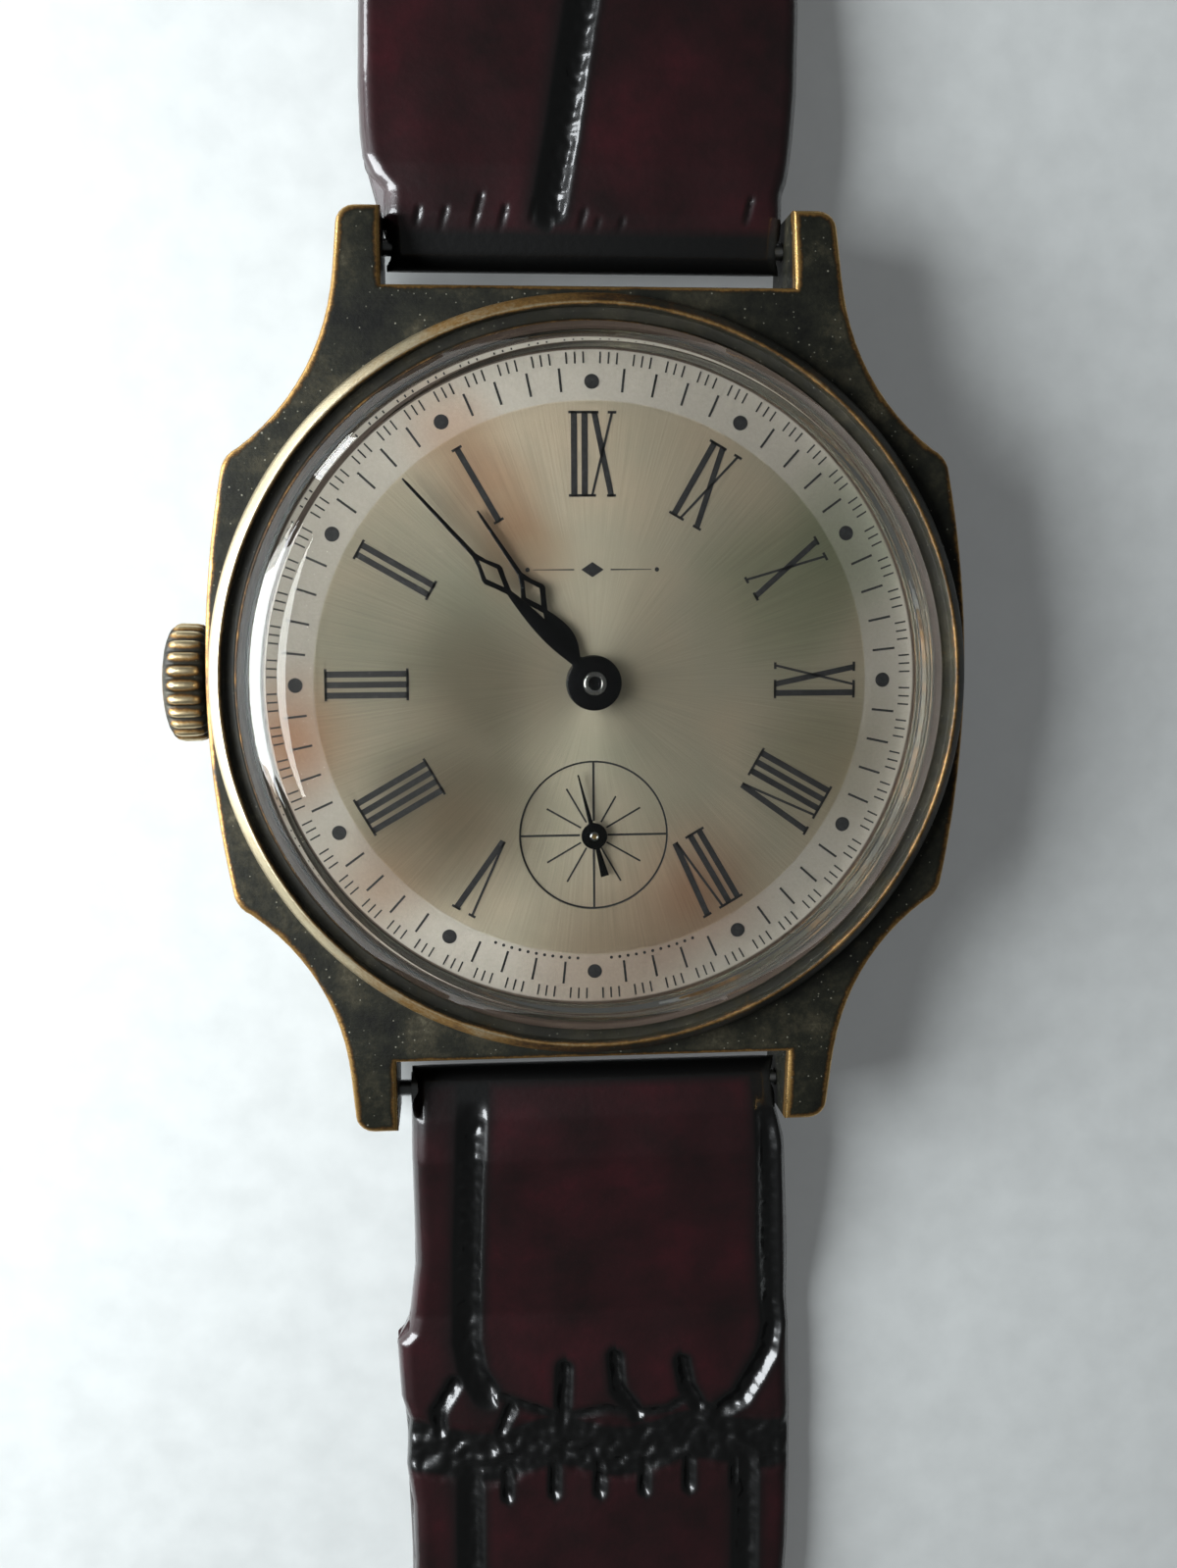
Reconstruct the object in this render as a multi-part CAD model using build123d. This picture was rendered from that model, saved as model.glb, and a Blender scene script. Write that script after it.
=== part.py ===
from build123d import *
import math
import os

# A mechanical wristwatch: a lugged brass case, a hand-wound movement, three hands and a leather strap.
# Millimetres. +Z points out of the dial, +Y to 12 o'clock and the crown is on the -X side.
# The origin is on the hands' axis, at the flat outer face of the case back.

os.makedirs("parts", exist_ok=True)

# ---------------------------------------------------------------- case
CASE_HALF_WIDTH = 16.85
CASE_LOW = 0.85
DECK_Z = 6.4
BAND_Y = 17.03
LUG_GAP = 17.9
LUG_TIP_Y = 20.45
BORE_R = 14.7
DIAL_SEAT_R = 15.0
CRYSTAL_R = 15.3
CRYSTAL_TOP = 9.35
BEZEL_R = 16.66
BEZEL_TOP = 7.4
BACK_R = 15.6

# spring bars between the lugs
BAR_Y = 19.2
BAR_Z = 3.1
BAR_R = 0.75
BAR_TIP_R = 0.38
RUNNING_GAP = 0.04

# crown and stem
STEM_Z = 3.0
STEM_R = 0.55
CROWN_R = 2.7
CROWN_IN_X = -17.0
CROWN_OUT_X = -19.0
CROWN_FLUTES = 24

# ---------------------------------------------------------------- dial and hands
DIAL_R = 14.9
DIAL_LOW = 5.8
DIAL_TOP = 6.2
SECONDS_Y = -6.83
HOUR_ANGLE = 123.8
MINUTE_ANGLE = 132.9
SECOND_ANGLE = 104.5
HOUR_HAND_Z = 6.42
MINUTE_HAND_Z = 6.82

# ---------------------------------------------------------------- movement levels
MOVEMENT_R = 13.0
BRIDGE_LOW = 1.25
BRIDGE_TOP = 2.15
PLATE_LOW = 3.6
PLATE_TOP = 4.95
WINDING_LOW = 1.28
WINDING_TOP = 1.56

# wheel centres
CENTRE = (0.0, 0.0)
BARREL_MODULE = 0.13
BARREL_TEETH = 80
CENTRE_LEAVES = 10
BARREL_DISTANCE = (BARREL_TEETH + CENTRE_LEAVES) * BARREL_MODULE / 2
BARREL_ANGLE = math.radians(110)
BARREL = (BARREL_DISTANCE * math.cos(BARREL_ANGLE), BARREL_DISTANCE * math.sin(BARREL_ANGLE))
CENTRE_MODULE = 0.10
CENTRE_TEETH = 80
THIRD_LEAVES = 10
THIRD_MODULE = 0.09
THIRD_TEETH = 75
FOURTH_LEAVES = 10
FOURTH_MODULE = 0.08
FOURTH_TEETH = 80
ESCAPE_LEAVES = 8
ESCAPE_TEETH = 15
ESCAPE_R = 2.2
THIRD = (-2.368, -3.8265)
FOURTH = (0.0, SECONDS_Y)
ESCAPE_DISTANCE = (FOURTH_TEETH + ESCAPE_LEAVES) * FOURTH_MODULE / 2
ESCAPE = (
    ESCAPE_DISTANCE * math.cos(math.radians(30)),
    SECONDS_Y + ESCAPE_DISTANCE * math.sin(math.radians(30)),
)
BALANCE = (6.8, -0.6)
BALANCE_R = 4.2
PALLET_DISTANCE = 2.75

# winding wheels on the barrel bridge
WINDING_MODULE = 0.2
RATCHET_TEETH = 48
CROWN_WHEEL_TEETH = 30
WINDING_PINION_TEETH = 16
WINDING_DISTANCE = (RATCHET_TEETH + CROWN_WHEEL_TEETH) * WINDING_MODULE / 2
CROWN_WHEEL = (BARREL[0] - math.sqrt(WINDING_DISTANCE**2 - BARREL[1] ** 2), 0.0)

# motion work under the dial
MOTION_MODULE = 0.12
CANNON_LEAVES = 12
MINUTE_WHEEL_TEETH = 36
MINUTE_LEAVES = 10
HOUR_TEETH = 40
MOTION_DISTANCE = (CANNON_LEAVES + MINUTE_WHEEL_TEETH) * MOTION_MODULE / 2
HOUR_MODULE = 2 * MOTION_DISTANCE / (MINUTE_LEAVES + HOUR_TEETH)
MOTION_ANGLE = math.radians(150)
MINUTE_WHEEL = (MOTION_DISTANCE * math.cos(MOTION_ANGLE), MOTION_DISTANCE * math.sin(MOTION_ANGLE))

# ---------------------------------------------------------------- strap
STRAP_THICK = 2.2
STRAP_LOOP_R = 1.5
STRAP_LUG_WIDTH = 17.6
STRAP_WIDE = 19.0
STRAP_END_WIDTH = 16.0
FLEX_GAP = 0.08
TOP_STRAP_Z = 2.1
BOTTOM_STRAP_Z = 1.1
TOP_FLEX_Y = (40.0, 62.0)
BOTTOM_FLEX_Y = (42.0, 66.0, 90.0)
BUCKLE_BAR_Y = 90.0
STRAP_TIP_Y = 131.0
HOLE_R = 0.9
HOLE_COUNT = 7
HOLE_PITCH = 6.5
HOLE_FIRST_Y = 80.0
BUCKLE_BAR_R = 0.6
KEEPER_WIDE = 3.4
KEEPER_WALL = 0.8


# ---------------------------------------------------------------- helpers
def direction(a, b):
    """Angle in radians from point a to point b."""
    return math.atan2(b[1] - a[1], b[0] - a[0])


def beyond(a, b, length):
    """The point that is length away from a, towards b."""
    angle = direction(a, b)
    return (a[0] + length * math.cos(angle), a[1] + length * math.sin(angle))


def disc(radius, low, top, at=(0.0, 0.0)):
    solid = Cylinder(radius, top - low, align=(Align.CENTER, Align.CENTER, Align.MIN))
    return Pos(at[0], at[1], low) * solid


def ring(outer, inner, low, top, at=(0.0, 0.0)):
    return disc(outer, low, top, at) - disc(inner, low - 0.1, top + 0.1, at)


def rod_x(radius, x_from, x_to, y=0.0, z=STEM_Z):
    """A round rod along X."""
    solid = Cylinder(radius, x_to - x_from, align=(Align.CENTER, Align.CENTER, Align.MIN))
    return Pos(x_from, y, z) * Rot(0, 90, 0) * solid


def block(x_from, x_to, y_from, y_to, low, top):
    size = (x_to - x_from, y_to - y_from, top - low)
    middle = ((x_from + x_to) / 2, (y_from + y_to) / 2, (low + top) / 2)
    return Pos(*middle) * Box(*size)


def plate(points, low, top, at=(0.0, 0.0), turn=0.0):
    """A flat plate with straight edges, turned about its own origin by turn degrees."""
    face = make_face(Polyline(*points, close=True))
    return Pos(at[0], at[1], low) * Rot(0, 0, turn) * extrude(face, amount=top - low)


def toothed(teeth, module, low, top, at=(0.0, 0.0), tooth_at=0.0):
    """A toothed disc with straight flanks, with one tooth centred on the angle tooth_at (radians)."""
    pitch_r = teeth * module / 2
    tip_r = pitch_r + 0.95 * module
    root_r = pitch_r - 1.15 * module
    step = 2 * math.pi / teeth
    points = []
    for tooth in range(teeth):
        middle = tooth_at + tooth * step
        for radius, offset in ((root_r, -0.33), (tip_r, -0.11), (tip_r, 0.11), (root_r, 0.33)):
            angle = middle + offset * step
            points.append((radius * math.cos(angle), radius * math.sin(angle)))
    return plate(points, low, top, at)


def gap_at(teeth, angle):
    """The tooth angle that puts a tooth gap, not a tooth, at the given angle."""
    return angle + math.pi / teeth


def crossings(rim_r, hub_r, arms, arm_width, low, top, at, turn=0.0):
    """The windows between a wheel's arms."""
    windows = ring(rim_r, hub_r, low - 0.05, top + 0.05, at)
    for arm in range(arms):
        angle = turn + arm * 360 / arms
        spoke = Pos(rim_r / 2, 0, 0) * Box(rim_r, arm_width, 3 * (top - low + 0.1))
        windows -= Pos(at[0], at[1], (low + top) / 2) * Rot(0, 0, angle) * spoke
    return windows


def sector(outer, inner, low, top, start, end):
    """An annular sector between two angles in degrees."""
    reach = 1.5 * outer
    count = max(2, math.ceil((end - start) / 60))
    fan = [(0.0, 0.0)]
    for i in range(count + 1):
        angle = math.radians(start + (end - start) * i / count)
        fan.append((reach * math.cos(angle), reach * math.sin(angle)))
    return ring(outer, inner, low, top) & plate(fan, low, top)


def screw(x, y, head_z, head_r=0.55, length=1.6, slot_turn=30.0):
    """A slotted screw whose head faces -Z and whose shank runs towards +Z."""
    head = disc(head_r, head_z, head_z + 0.35, (x, y))
    slot = Pos(x, y, head_z) * Rot(0, 0, slot_turn) * Box(3 * head_r, 0.16, 0.3)
    return head - slot + disc(head_r * 0.5, head_z + 0.3, head_z + length, (x, y))


def screw_hole(x, y, head_z, head_r=0.55, length=1.6):
    return disc(head_r, head_z - 3.0, head_z + 0.35, (x, y)) + disc(head_r * 0.5, head_z, head_z + length, (x, y))


def four_fold(half_edges):
    """A closed face from the edges of its +X +Y quarter, mirrored about both axes."""
    edges = list(half_edges)
    edges += [edge.mirror(Plane.YZ) for edge in half_edges]
    edges += [edge.mirror(Plane.XZ) for edge in edges]
    return make_face(edges)


def save(name, shape):
    """Writes one node, as one solid or a group of separate solids."""
    solids = shape.solids()
    export_step(solids[0] if len(solids) == 1 else Compound(children=list(solids)), f"parts/{name}.step")


# ---------------------------------------------------------------- case
def case_outline():
    """The body's plan: bowed sides, a soft corner, and concave flanks that run into the lugs."""
    side = ThreePointArc((CASE_HALF_WIDTH, 0), (16.45, 6.0), (15.95, 9.1))
    corner = ThreePointArc((15.95, 9.1), (15.72, 9.72), (15.2, 10.15))
    flank = ThreePointArc((15.2, 10.15), (12.35, 13.3), (11.0, 17.6))
    lug_side = Line((11.0, 17.6), (10.85, 19.65))
    lug_corner = ThreePointArc((10.85, 19.65), (10.6, 20.22), (10.05, LUG_TIP_Y))
    lug_end = Line((10.05, LUG_TIP_Y), (LUG_GAP / 2, LUG_TIP_Y))
    lug_inner = Line((LUG_GAP / 2, LUG_TIP_Y), (LUG_GAP / 2, BAND_Y))
    band_edge = Line((LUG_GAP / 2, BAND_Y), (0, BAND_Y))
    return four_fold([side, corner, flank, lug_side, lug_corner, lug_end, lug_inner, band_edge])


def case_side_profile():
    """Seen along X: flat deck and base, with lugs that droop from the deck to their tips."""
    half = [
        Line((0, DECK_Z), (16.7, DECK_Z)),
        ThreePointArc((16.7, DECK_Z), (18.8, 6.0), (LUG_TIP_Y, 5.0)),
        Line((LUG_TIP_Y, 5.0), (LUG_TIP_Y, 1.3)),
        ThreePointArc((LUG_TIP_Y, 1.3), (17.2, 0.95), (14.6, CASE_LOW)),
        Line((14.6, CASE_LOW), (0, CASE_LOW)),
    ]
    face = make_face(half + [edge.mirror(Plane.YZ) for edge in half])
    solid = extrude(face, amount=CASE_HALF_WIDTH + 1, both=True)
    return Rot(0, 0, 90) * Rot(90, 0, 0) * solid


def lug_holes():
    holes = []
    for side in (-1, 1):
        for end in (-1, 1):
            x_from = LUG_GAP / 2 - 0.1 if end > 0 else -LUG_GAP / 2 - 0.95
            holes.append(rod_x(BAR_TIP_R + RUNNING_GAP, x_from, x_from + 1.05, side * BAR_Y, BAR_Z))
    return holes


def case_middle():
    body = extrude(case_outline(), amount=DECK_Z + 1) & case_side_profile()
    body -= disc(BORE_R, 0, DIAL_LOW)
    body -= disc(DIAL_SEAT_R, DIAL_LOW - 0.1, 7.0)
    body -= disc(CRYSTAL_R + 0.05, 6.27, 7.0)
    body -= rod_x(1.0, -18.0, -14.0)
    for hole in lug_holes():
        body -= hole
    return body


def bezel():
    """A ring with a worn ridge, a sunk textured track inside it, and a thin lip round the crystal."""
    inner = CRYSTAL_R + 0.05
    points = [
        (inner, DECK_Z),
        (BEZEL_R, DECK_Z),
        (BEZEL_R, DECK_Z + 0.14),
        (16.24, BEZEL_TOP - 0.03),
        (16.17, BEZEL_TOP),
        (16.09, BEZEL_TOP - 0.02),
        (16.02, 6.98),
        (15.54, 6.94),
        (15.5, 7.07),
        (inner, 7.07),
    ]
    return revolve(Plane.XZ * make_face(Polyline(*points, close=True)), Axis.Z)


def dome(top, height, radius):
    """A ball that passes through the axis at top and height below it at the given radius."""
    ball_r = (radius**2 + height**2) / (2 * height)
    return Pos(0, 0, top - ball_r) * Sphere(ball_r)


def crystal():
    """A domed acrylic crystal with a bevelled shoulder, hollow below."""
    points = [(0, 6.27), (CRYSTAL_R, 6.27), (CRYSTAL_R, 8.0), (14.3, 9.0), (0, 9.8)]
    outside = revolve(Plane.XZ * make_face(Polyline(*points, close=True)), Axis.Z)
    outside &= dome(CRYSTAL_TOP, 0.8, 14.72)
    inside = disc(14.55, 6.0, 8.6) & dome(CRYSTAL_TOP - 0.95, 0.9, 14.3)
    return outside - inside


def case_back():
    """A flat snap back with a bevelled edge and a rim that presses into the bore."""
    points = [
        (0, 0),
        (BACK_R - 0.5, 0),
        (BACK_R, 0.4),
        (BACK_R, CASE_LOW),
        (14.65, CASE_LOW),
        (14.65, BRIDGE_LOW),
        (13.9, BRIDGE_LOW),
        (13.9, 0.75),
        (0, 0.75),
    ]
    return revolve(Plane.XZ * make_face(Polyline(*points, close=True)), Axis.Z)


def crown_tube():
    return rod_x(1.0, -17.6, -14.8) - rod_x(STEM_R + 0.07, -18.0, -14.0)


def crown():
    """A fluted, domed knob, hollowed over the tube and screwed on the stem."""
    length = CROWN_IN_X - CROWN_OUT_X
    edges = [
        Line((0, 0), (2.15, 0)),
        Line((2.15, 0), (CROWN_R, 0.35)),
        Line((CROWN_R, 0.35), (CROWN_R, length - 0.55)),
        ThreePointArc((CROWN_R, length - 0.55), (2.4, length - 0.2), (1.9, length)),
        Line((1.9, length), (1.9, length + 0.5)),
        Line((1.9, length + 0.5), (0, length + 0.5)),
        Line((0, length + 0.5), (0, 0)),
    ]
    knob = revolve(Plane.XZ * make_face(edges), Axis.Z) & dome(length + 0.12, 0.12, 1.9)
    for flute in range(CROWN_FLUTES):
        groove = Pos(CROWN_R + 0.12, 0, length / 2) * Cylinder(0.26, length + 1)
        knob -= Rot(0, 0, flute * 360 / CROWN_FLUTES) * groove
    knob -= disc(1.1, -0.1, 1.0)
    knob -= disc(STEM_R, -0.1, 1.5)
    return Pos(CROWN_IN_X, 0, STEM_Z) * Rot(0, -90, 0) * knob


def movement_ring():
    body = ring(14.65, MOVEMENT_R + 0.03, BRIDGE_LOW, DIAL_LOW - 0.05)
    body -= rod_x(0.8, -15.0, -12.5)
    # room for the setting lever
    return body - block(-13.8, -12.5, -1.7, 1.7, 3.3, DIAL_LOW)


# ---------------------------------------------------------------- dial and hands
def dial():
    face = disc(DIAL_R, DIAL_LOW, DIAL_TOP)
    face -= disc(0.95, DIAL_LOW - 0.1, DIAL_TOP + 0.1)
    face -= disc(0.25, DIAL_LOW - 0.1, DIAL_TOP + 0.1, FOURTH)
    # the sunk seconds circle
    return face - disc(3.35, DIAL_TOP - 0.08, DIAL_TOP + 0.1, FOURTH)


def pomme(length, hub_r, bore_r, ring_at, ring_half, ring_wide, leaf_at, leaf_wide):
    """A pointed hand with a leaf near its hub, an open lozenge and a needle tip, pointing along +X."""
    neck = 0.1
    leaf = [(hub_r * 0.6, neck * 2), (leaf_at, leaf_wide / 2), (ring_at - ring_half, neck)]
    leaf += [(x, -y) for x, y in reversed(leaf)]
    outer = [(ring_at - ring_half, neck * 0.9), (ring_at, ring_wide / 2), (ring_at + ring_half, neck)]
    outer += [(x, -y) for x, y in reversed(outer)]
    window = [(ring_at - ring_half * 0.62, 0), (ring_at, ring_wide * 0.27), (ring_at + ring_half * 0.62, 0)]
    window += [(ring_at, -ring_wide * 0.27)]
    needle = [(ring_at + ring_half * 0.8, neck), (length, 0.03), (length, -0.03), (ring_at + ring_half * 0.8, -neck)]
    shape = plate(leaf, 0, 0.14) + plate(outer, 0, 0.14) - plate(window, -0.1, 0.3) + plate(needle, 0, 0.14)
    return shape + disc(hub_r, 0, 0.18) - disc(bore_r, -0.1, 0.3)


def hour_hand():
    hand = pomme(9.0, 1.25, 0.82, 4.75, 0.95, 1.15, 2.6, 1.0)
    return Pos(0, 0, HOUR_HAND_Z) * Rot(0, 0, HOUR_ANGLE) * hand


def minute_hand():
    hand = pomme(12.0, 1.22, 0.52, 6.5, 1.0, 1.05, 3.6, 0.72)
    return Pos(0, 0, MINUTE_HAND_Z) * Rot(0, 0, MINUTE_ANGLE) * hand


def seconds_hand():
    needle = plate([(-1.86, 0.17), (0, 0.12), (2.83, 0.04), (2.83, -0.04), (0, -0.12), (-1.86, -0.17)], 0, 0.1)
    hand = needle + disc(0.58, 0, 0.16) - disc(0.12, -0.1, 0.3)
    return Pos(FOURTH[0], FOURTH[1], 6.4) * Rot(0, 0, SECOND_ANGLE) * hand


# ---------------------------------------------------------------- plates and bridges
PALLET = beyond(ESCAPE, BALANCE, PALLET_DISTANCE)
CLICK = beyond(BARREL, (BARREL[0] - 5.9, BARREL[1] + 2.1), 6.05)
BRIDGE_SCREWS = [(-9.3, 7.4), (3.9, 11.3), (-9.9, -3.9), (-9.0, -7.6), (-3.6, -10.9), (3.9, -10.9), (7.0, 8.9)]
PLATE_JEWELS = [THIRD, FOURTH, ESCAPE, PALLET, BALANCE]
BRIDGE_JEWELS = [THIRD, FOURTH, ESCAPE]


def main_plate():
    """The dial-side plate: wheel seats, the barrel's recess, the stem's bosses and the rim under the dial."""
    body = disc(MOVEMENT_R, PLATE_LOW, PLATE_TOP)
    body += sector(MOVEMENT_R, 12.0, PLATE_TOP, DIAL_LOW, -165, 165)
    body -= disc(5.1, PLATE_LOW - 0.1, 4.5, BARREL)
    body -= disc(0.45, PLATE_LOW, PLATE_TOP + 0.1, BARREL)
    body -= block(-11.25, -7.35, -1.75, 1.75, PLATE_LOW - 0.1, PLATE_TOP + 0.1)
    body += block(-12.75, -11.25, -1.4, 1.4, BRIDGE_TOP, PLATE_LOW)
    body += block(-7.35, -6.3, -0.9, 0.9, 2.2, PLATE_LOW)
    body -= rod_x(STEM_R + 0.05, -13.5, -11.2)
    body -= rod_x(0.35, -7.5, -6.2)
    body -= block(-13.2, -11.8, -0.25, 0.5, 3.3, PLATE_TOP + 0.1)
    body -= disc(0.32, PLATE_LOW - 0.1, PLATE_TOP + 0.1, CENTRE)
    for seat in PLATE_JEWELS:
        body -= disc(0.65, PLATE_LOW - 0.1, PLATE_LOW + 0.3, seat)
        body -= disc(0.3, PLATE_LOW, PLATE_LOW + 0.7, seat)
    body -= disc(0.3, PLATE_LOW, PLATE_TOP + 0.1, FOURTH)
    for x, y in BRIDGE_SCREWS:
        body -= screw_hole(x, y, BRIDGE_LOW + 0.1, length=3.4)
    return body


def bridge_feet(start, end):
    return sector(12.8, 11.4, BRIDGE_TOP, PLATE_LOW, start, end)


def barrel_bridge_region():
    """Everything above the train, with a tongue that carries the crown wheel."""
    upper = block(-14, 5.2, 0.95, 14, BRIDGE_LOW, BRIDGE_TOP)
    tongue = block(-14, -4.3, -3.4, 1.0, BRIDGE_LOW, BRIDGE_TOP)
    toe = block(-14, -8.2, -5.0, -3.3, BRIDGE_LOW, BRIDGE_TOP)
    return upper + tongue + toe


def barrel_bridge():
    flat = disc(12.8, BRIDGE_LOW, BRIDGE_TOP)
    body = flat & barrel_bridge_region()
    body -= disc(4.75, BRIDGE_LOW - 0.1, BRIDGE_TOP + 0.1, BALANCE)
    body += bridge_feet(68, 88) + bridge_feet(125, 165)
    body += disc(0.95, BRIDGE_TOP, PLATE_LOW, BRIDGE_SCREWS[2])
    body -= disc(5.1, BRIDGE_LOW - 0.1, 1.6, BARREL)
    body -= disc(3.3, BRIDGE_LOW - 0.1, 1.6, CROWN_WHEEL)
    body -= disc(0.75, BRIDGE_LOW - 0.1, BRIDGE_TOP + 0.1, BARREL)
    body -= block(-11.3, -9.95, -1.75, 1.75, BRIDGE_LOW - 0.1, BRIDGE_TOP + 0.1)
    body -= block(-10.0, -7.4, -1.1, 1.1, 1.95, BRIDGE_TOP + 0.1)
    body -= disc(1.5, BRIDGE_LOW - 0.1, 1.6, CLICK)
    for x, y in (BRIDGE_SCREWS[0], BRIDGE_SCREWS[1], BRIDGE_SCREWS[2]):
        body -= screw_hole(x, y, BRIDGE_LOW + 0.1, length=3.4)
    return body


def train_bridge():
    flat = disc(12.8, BRIDGE_LOW, BRIDGE_TOP)
    body = flat - block(-14, 14, 0.75, 14, BRIDGE_LOW - 0.1, BRIDGE_TOP + 0.1)
    body -= block(-14, -4.1, -3.6, 1.0, BRIDGE_LOW - 0.1, BRIDGE_TOP + 0.1)
    body -= block(-14, -8.0, -5.2, -3.4, BRIDGE_LOW - 0.1, BRIDGE_TOP + 0.1)
    body -= disc(5.1, BRIDGE_LOW - 0.1, 1.6, BARREL)
    body -= disc(3.3, BRIDGE_LOW - 0.1, 1.6, CROWN_WHEEL)
    body -= disc(4.75, BRIDGE_LOW - 0.1, BRIDGE_TOP + 0.1, BALANCE)
    body -= block(7.0, 14, -14, 2, BRIDGE_LOW - 0.1, BRIDGE_TOP + 0.1)
    body += bridge_feet(207, 305)
    body -= disc(0.32, BRIDGE_LOW - 0.1, BRIDGE_TOP + 0.1, CENTRE)
    for seat in BRIDGE_JEWELS:
        body -= disc(0.65, BRIDGE_TOP - 0.3, BRIDGE_TOP + 0.1, seat)
        body -= disc(0.3, BRIDGE_LOW - 0.1, BRIDGE_TOP, seat)
    for x, y in (BRIDGE_SCREWS[3], BRIDGE_SCREWS[4], BRIDGE_SCREWS[5]):
        body -= screw_hole(x, y, BRIDGE_LOW + 0.1, length=3.4)
    return body


def pallet_bridge():
    """A small bar over the pallet fork, on two feet outside the fork's swing."""
    across = math.degrees(direction(ESCAPE, BALANCE)) + 90
    bar = Pos(PALLET[0], PALLET[1], 3.01) * Rot(0, 0, across) * Box(4.6, 0.9, 0.22)
    for side in (-1, 1):
        foot = Pos(side * 2.0, 0, 0) * Box(0.6, 0.9, PLATE_LOW - 2.9)
        bar += Pos(PALLET[0], PALLET[1], (PLATE_LOW + 2.9) / 2) * Rot(0, 0, across) * foot
    return bar - disc(0.12, 2.8, 3.2, PALLET)


def balance_cock():
    """A cock over the balance, on one foot at the plate's edge."""
    foot_at = BRIDGE_SCREWS[6]
    angle = math.degrees(direction(foot_at, BALANCE))
    length = math.dist(foot_at, BALANCE)
    arm = [(0, 1.5), (length * 0.55, 1.1), (length, 1.25), (length, -1.25), (length * 0.55, -1.1), (0, -1.5)]
    body = plate(arm, BRIDGE_LOW, 1.75, foot_at, angle) + disc(1.25, BRIDGE_LOW, 1.75, BALANCE)
    body += disc(1.5, BRIDGE_LOW, PLATE_LOW, foot_at)
    body -= disc(0.65, 1.45, 1.85, BALANCE)
    body -= disc(0.3, 1.1, 1.85, BALANCE)
    return body - screw_hole(*foot_at, BRIDGE_LOW + 0.1, length=3.4)


def movement_screws():
    shapes = []
    for i, (x, y) in enumerate(BRIDGE_SCREWS):
        shapes.append(screw(x, y, BRIDGE_LOW + 0.1, length=3.4, slot_turn=25 + 40 * i))
    return Compound(children=[solid for shape in shapes for solid in shape.solids()])


def jewels():
    """Ring jewels: five in the main plate, three in the train bridge and one in the cock."""
    stones = [ring(0.65, 0.12, PLATE_LOW, PLATE_LOW + 0.3, at) for at in PLATE_JEWELS if at != FOURTH]
    stones.append(ring(0.65, 0.14, PLATE_LOW, PLATE_LOW + 0.3, FOURTH))
    stones += [ring(0.65, 0.12, BRIDGE_TOP - 0.3, BRIDGE_TOP, at) for at in BRIDGE_JEWELS]
    stones.append(ring(0.65, 0.12, 1.45, 1.75, BALANCE))
    return Compound(children=[solid for stone in stones for solid in stone.solids()])


# ---------------------------------------------------------------- power
def barrel_drum():
    drum = disc(4.9, 2.5, 4.4, BARREL) - disc(4.55, 2.4, 4.15, BARREL) - disc(0.45, 4.0, 4.5, BARREL)
    teeth = toothed(BARREL_TEETH, BARREL_MODULE, 2.75, 3.15, BARREL, direction(BARREL, CENTRE))
    return drum + (teeth - disc(4.7, 2.7, 3.2, BARREL))


def barrel_cover():
    return ring(4.54, 0.79, 2.52, 2.72, BARREL)


def barrel_arbor():
    """Pivots in the plate and bridge, a hub inside the drum and a square for the ratchet wheel."""
    body = disc(0.4, 2.3, 4.85, BARREL) + disc(1.1, 2.8, 4.1, BARREL) + disc(0.7, 1.58, 2.82, BARREL)
    return body + Pos(BARREL[0], BARREL[1], (WINDING_LOW + 1.6) / 2) * Box(0.8, 0.8, 1.6 - WINDING_LOW)


def spiral(inner, outer, turns, thick, low, top, at):
    """A flat spiral strip of even pitch."""
    steps = 20 * turns
    inside, outside = [], []
    for i in range(steps + 1):
        angle = 2 * math.pi * turns * i / steps
        radius = inner + (outer - inner) * i / steps
        inside.append(((radius - thick / 2) * math.cos(angle), (radius - thick / 2) * math.sin(angle)))
        outside.append(((radius + thick / 2) * math.cos(angle), (radius + thick / 2) * math.sin(angle)))
    return plate(inside + outside[::-1], low, top, at)


def mainspring():
    return spiral(1.25, 4.4, 8, 0.13, 2.85, 4.1, BARREL)


def ratchet_wheel():
    toward = direction(BARREL, CROWN_WHEEL)
    body = toothed(RATCHET_TEETH, WINDING_MODULE, WINDING_LOW, WINDING_TOP, BARREL, toward)
    return body - Pos(BARREL[0], BARREL[1], 1.4) * Box(0.82, 0.82, 1.0)


def crown_wheel():
    tooth_at = gap_at(CROWN_WHEEL_TEETH, direction(CROWN_WHEEL, BARREL))
    body = toothed(CROWN_WHEEL_TEETH, WINDING_MODULE, WINDING_LOW, WINDING_TOP, CROWN_WHEEL, tooth_at)
    return body - disc(0.6, 1.0, 1.8, CROWN_WHEEL)


def click():
    """A pawl whose nose rests in the ratchet wheel's teeth."""
    reach = 6.05 - (RATCHET_TEETH * WINDING_MODULE / 2 + 0.12)
    nose = [(0.3, 0.42), (reach, 0.06), (reach, -0.06), (0.2, -0.42)]
    turn = math.degrees(direction(CLICK, BARREL))
    return disc(0.5, WINDING_LOW, WINDING_TOP, CLICK) + plate(nose, WINDING_LOW, WINDING_TOP, CLICK, turn)


def click_spring():
    """A bent wire that presses on the click's back."""
    turn = math.degrees(direction(CLICK, BARREL))
    strip = [(-0.9, -1.15), (0.5, -1.05), (0.5, -0.93), (-0.8, -1.02), (-1.05, -0.3), (-1.15, -0.35)]
    return plate(strip, 1.32, 1.52, CLICK, turn)


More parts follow.
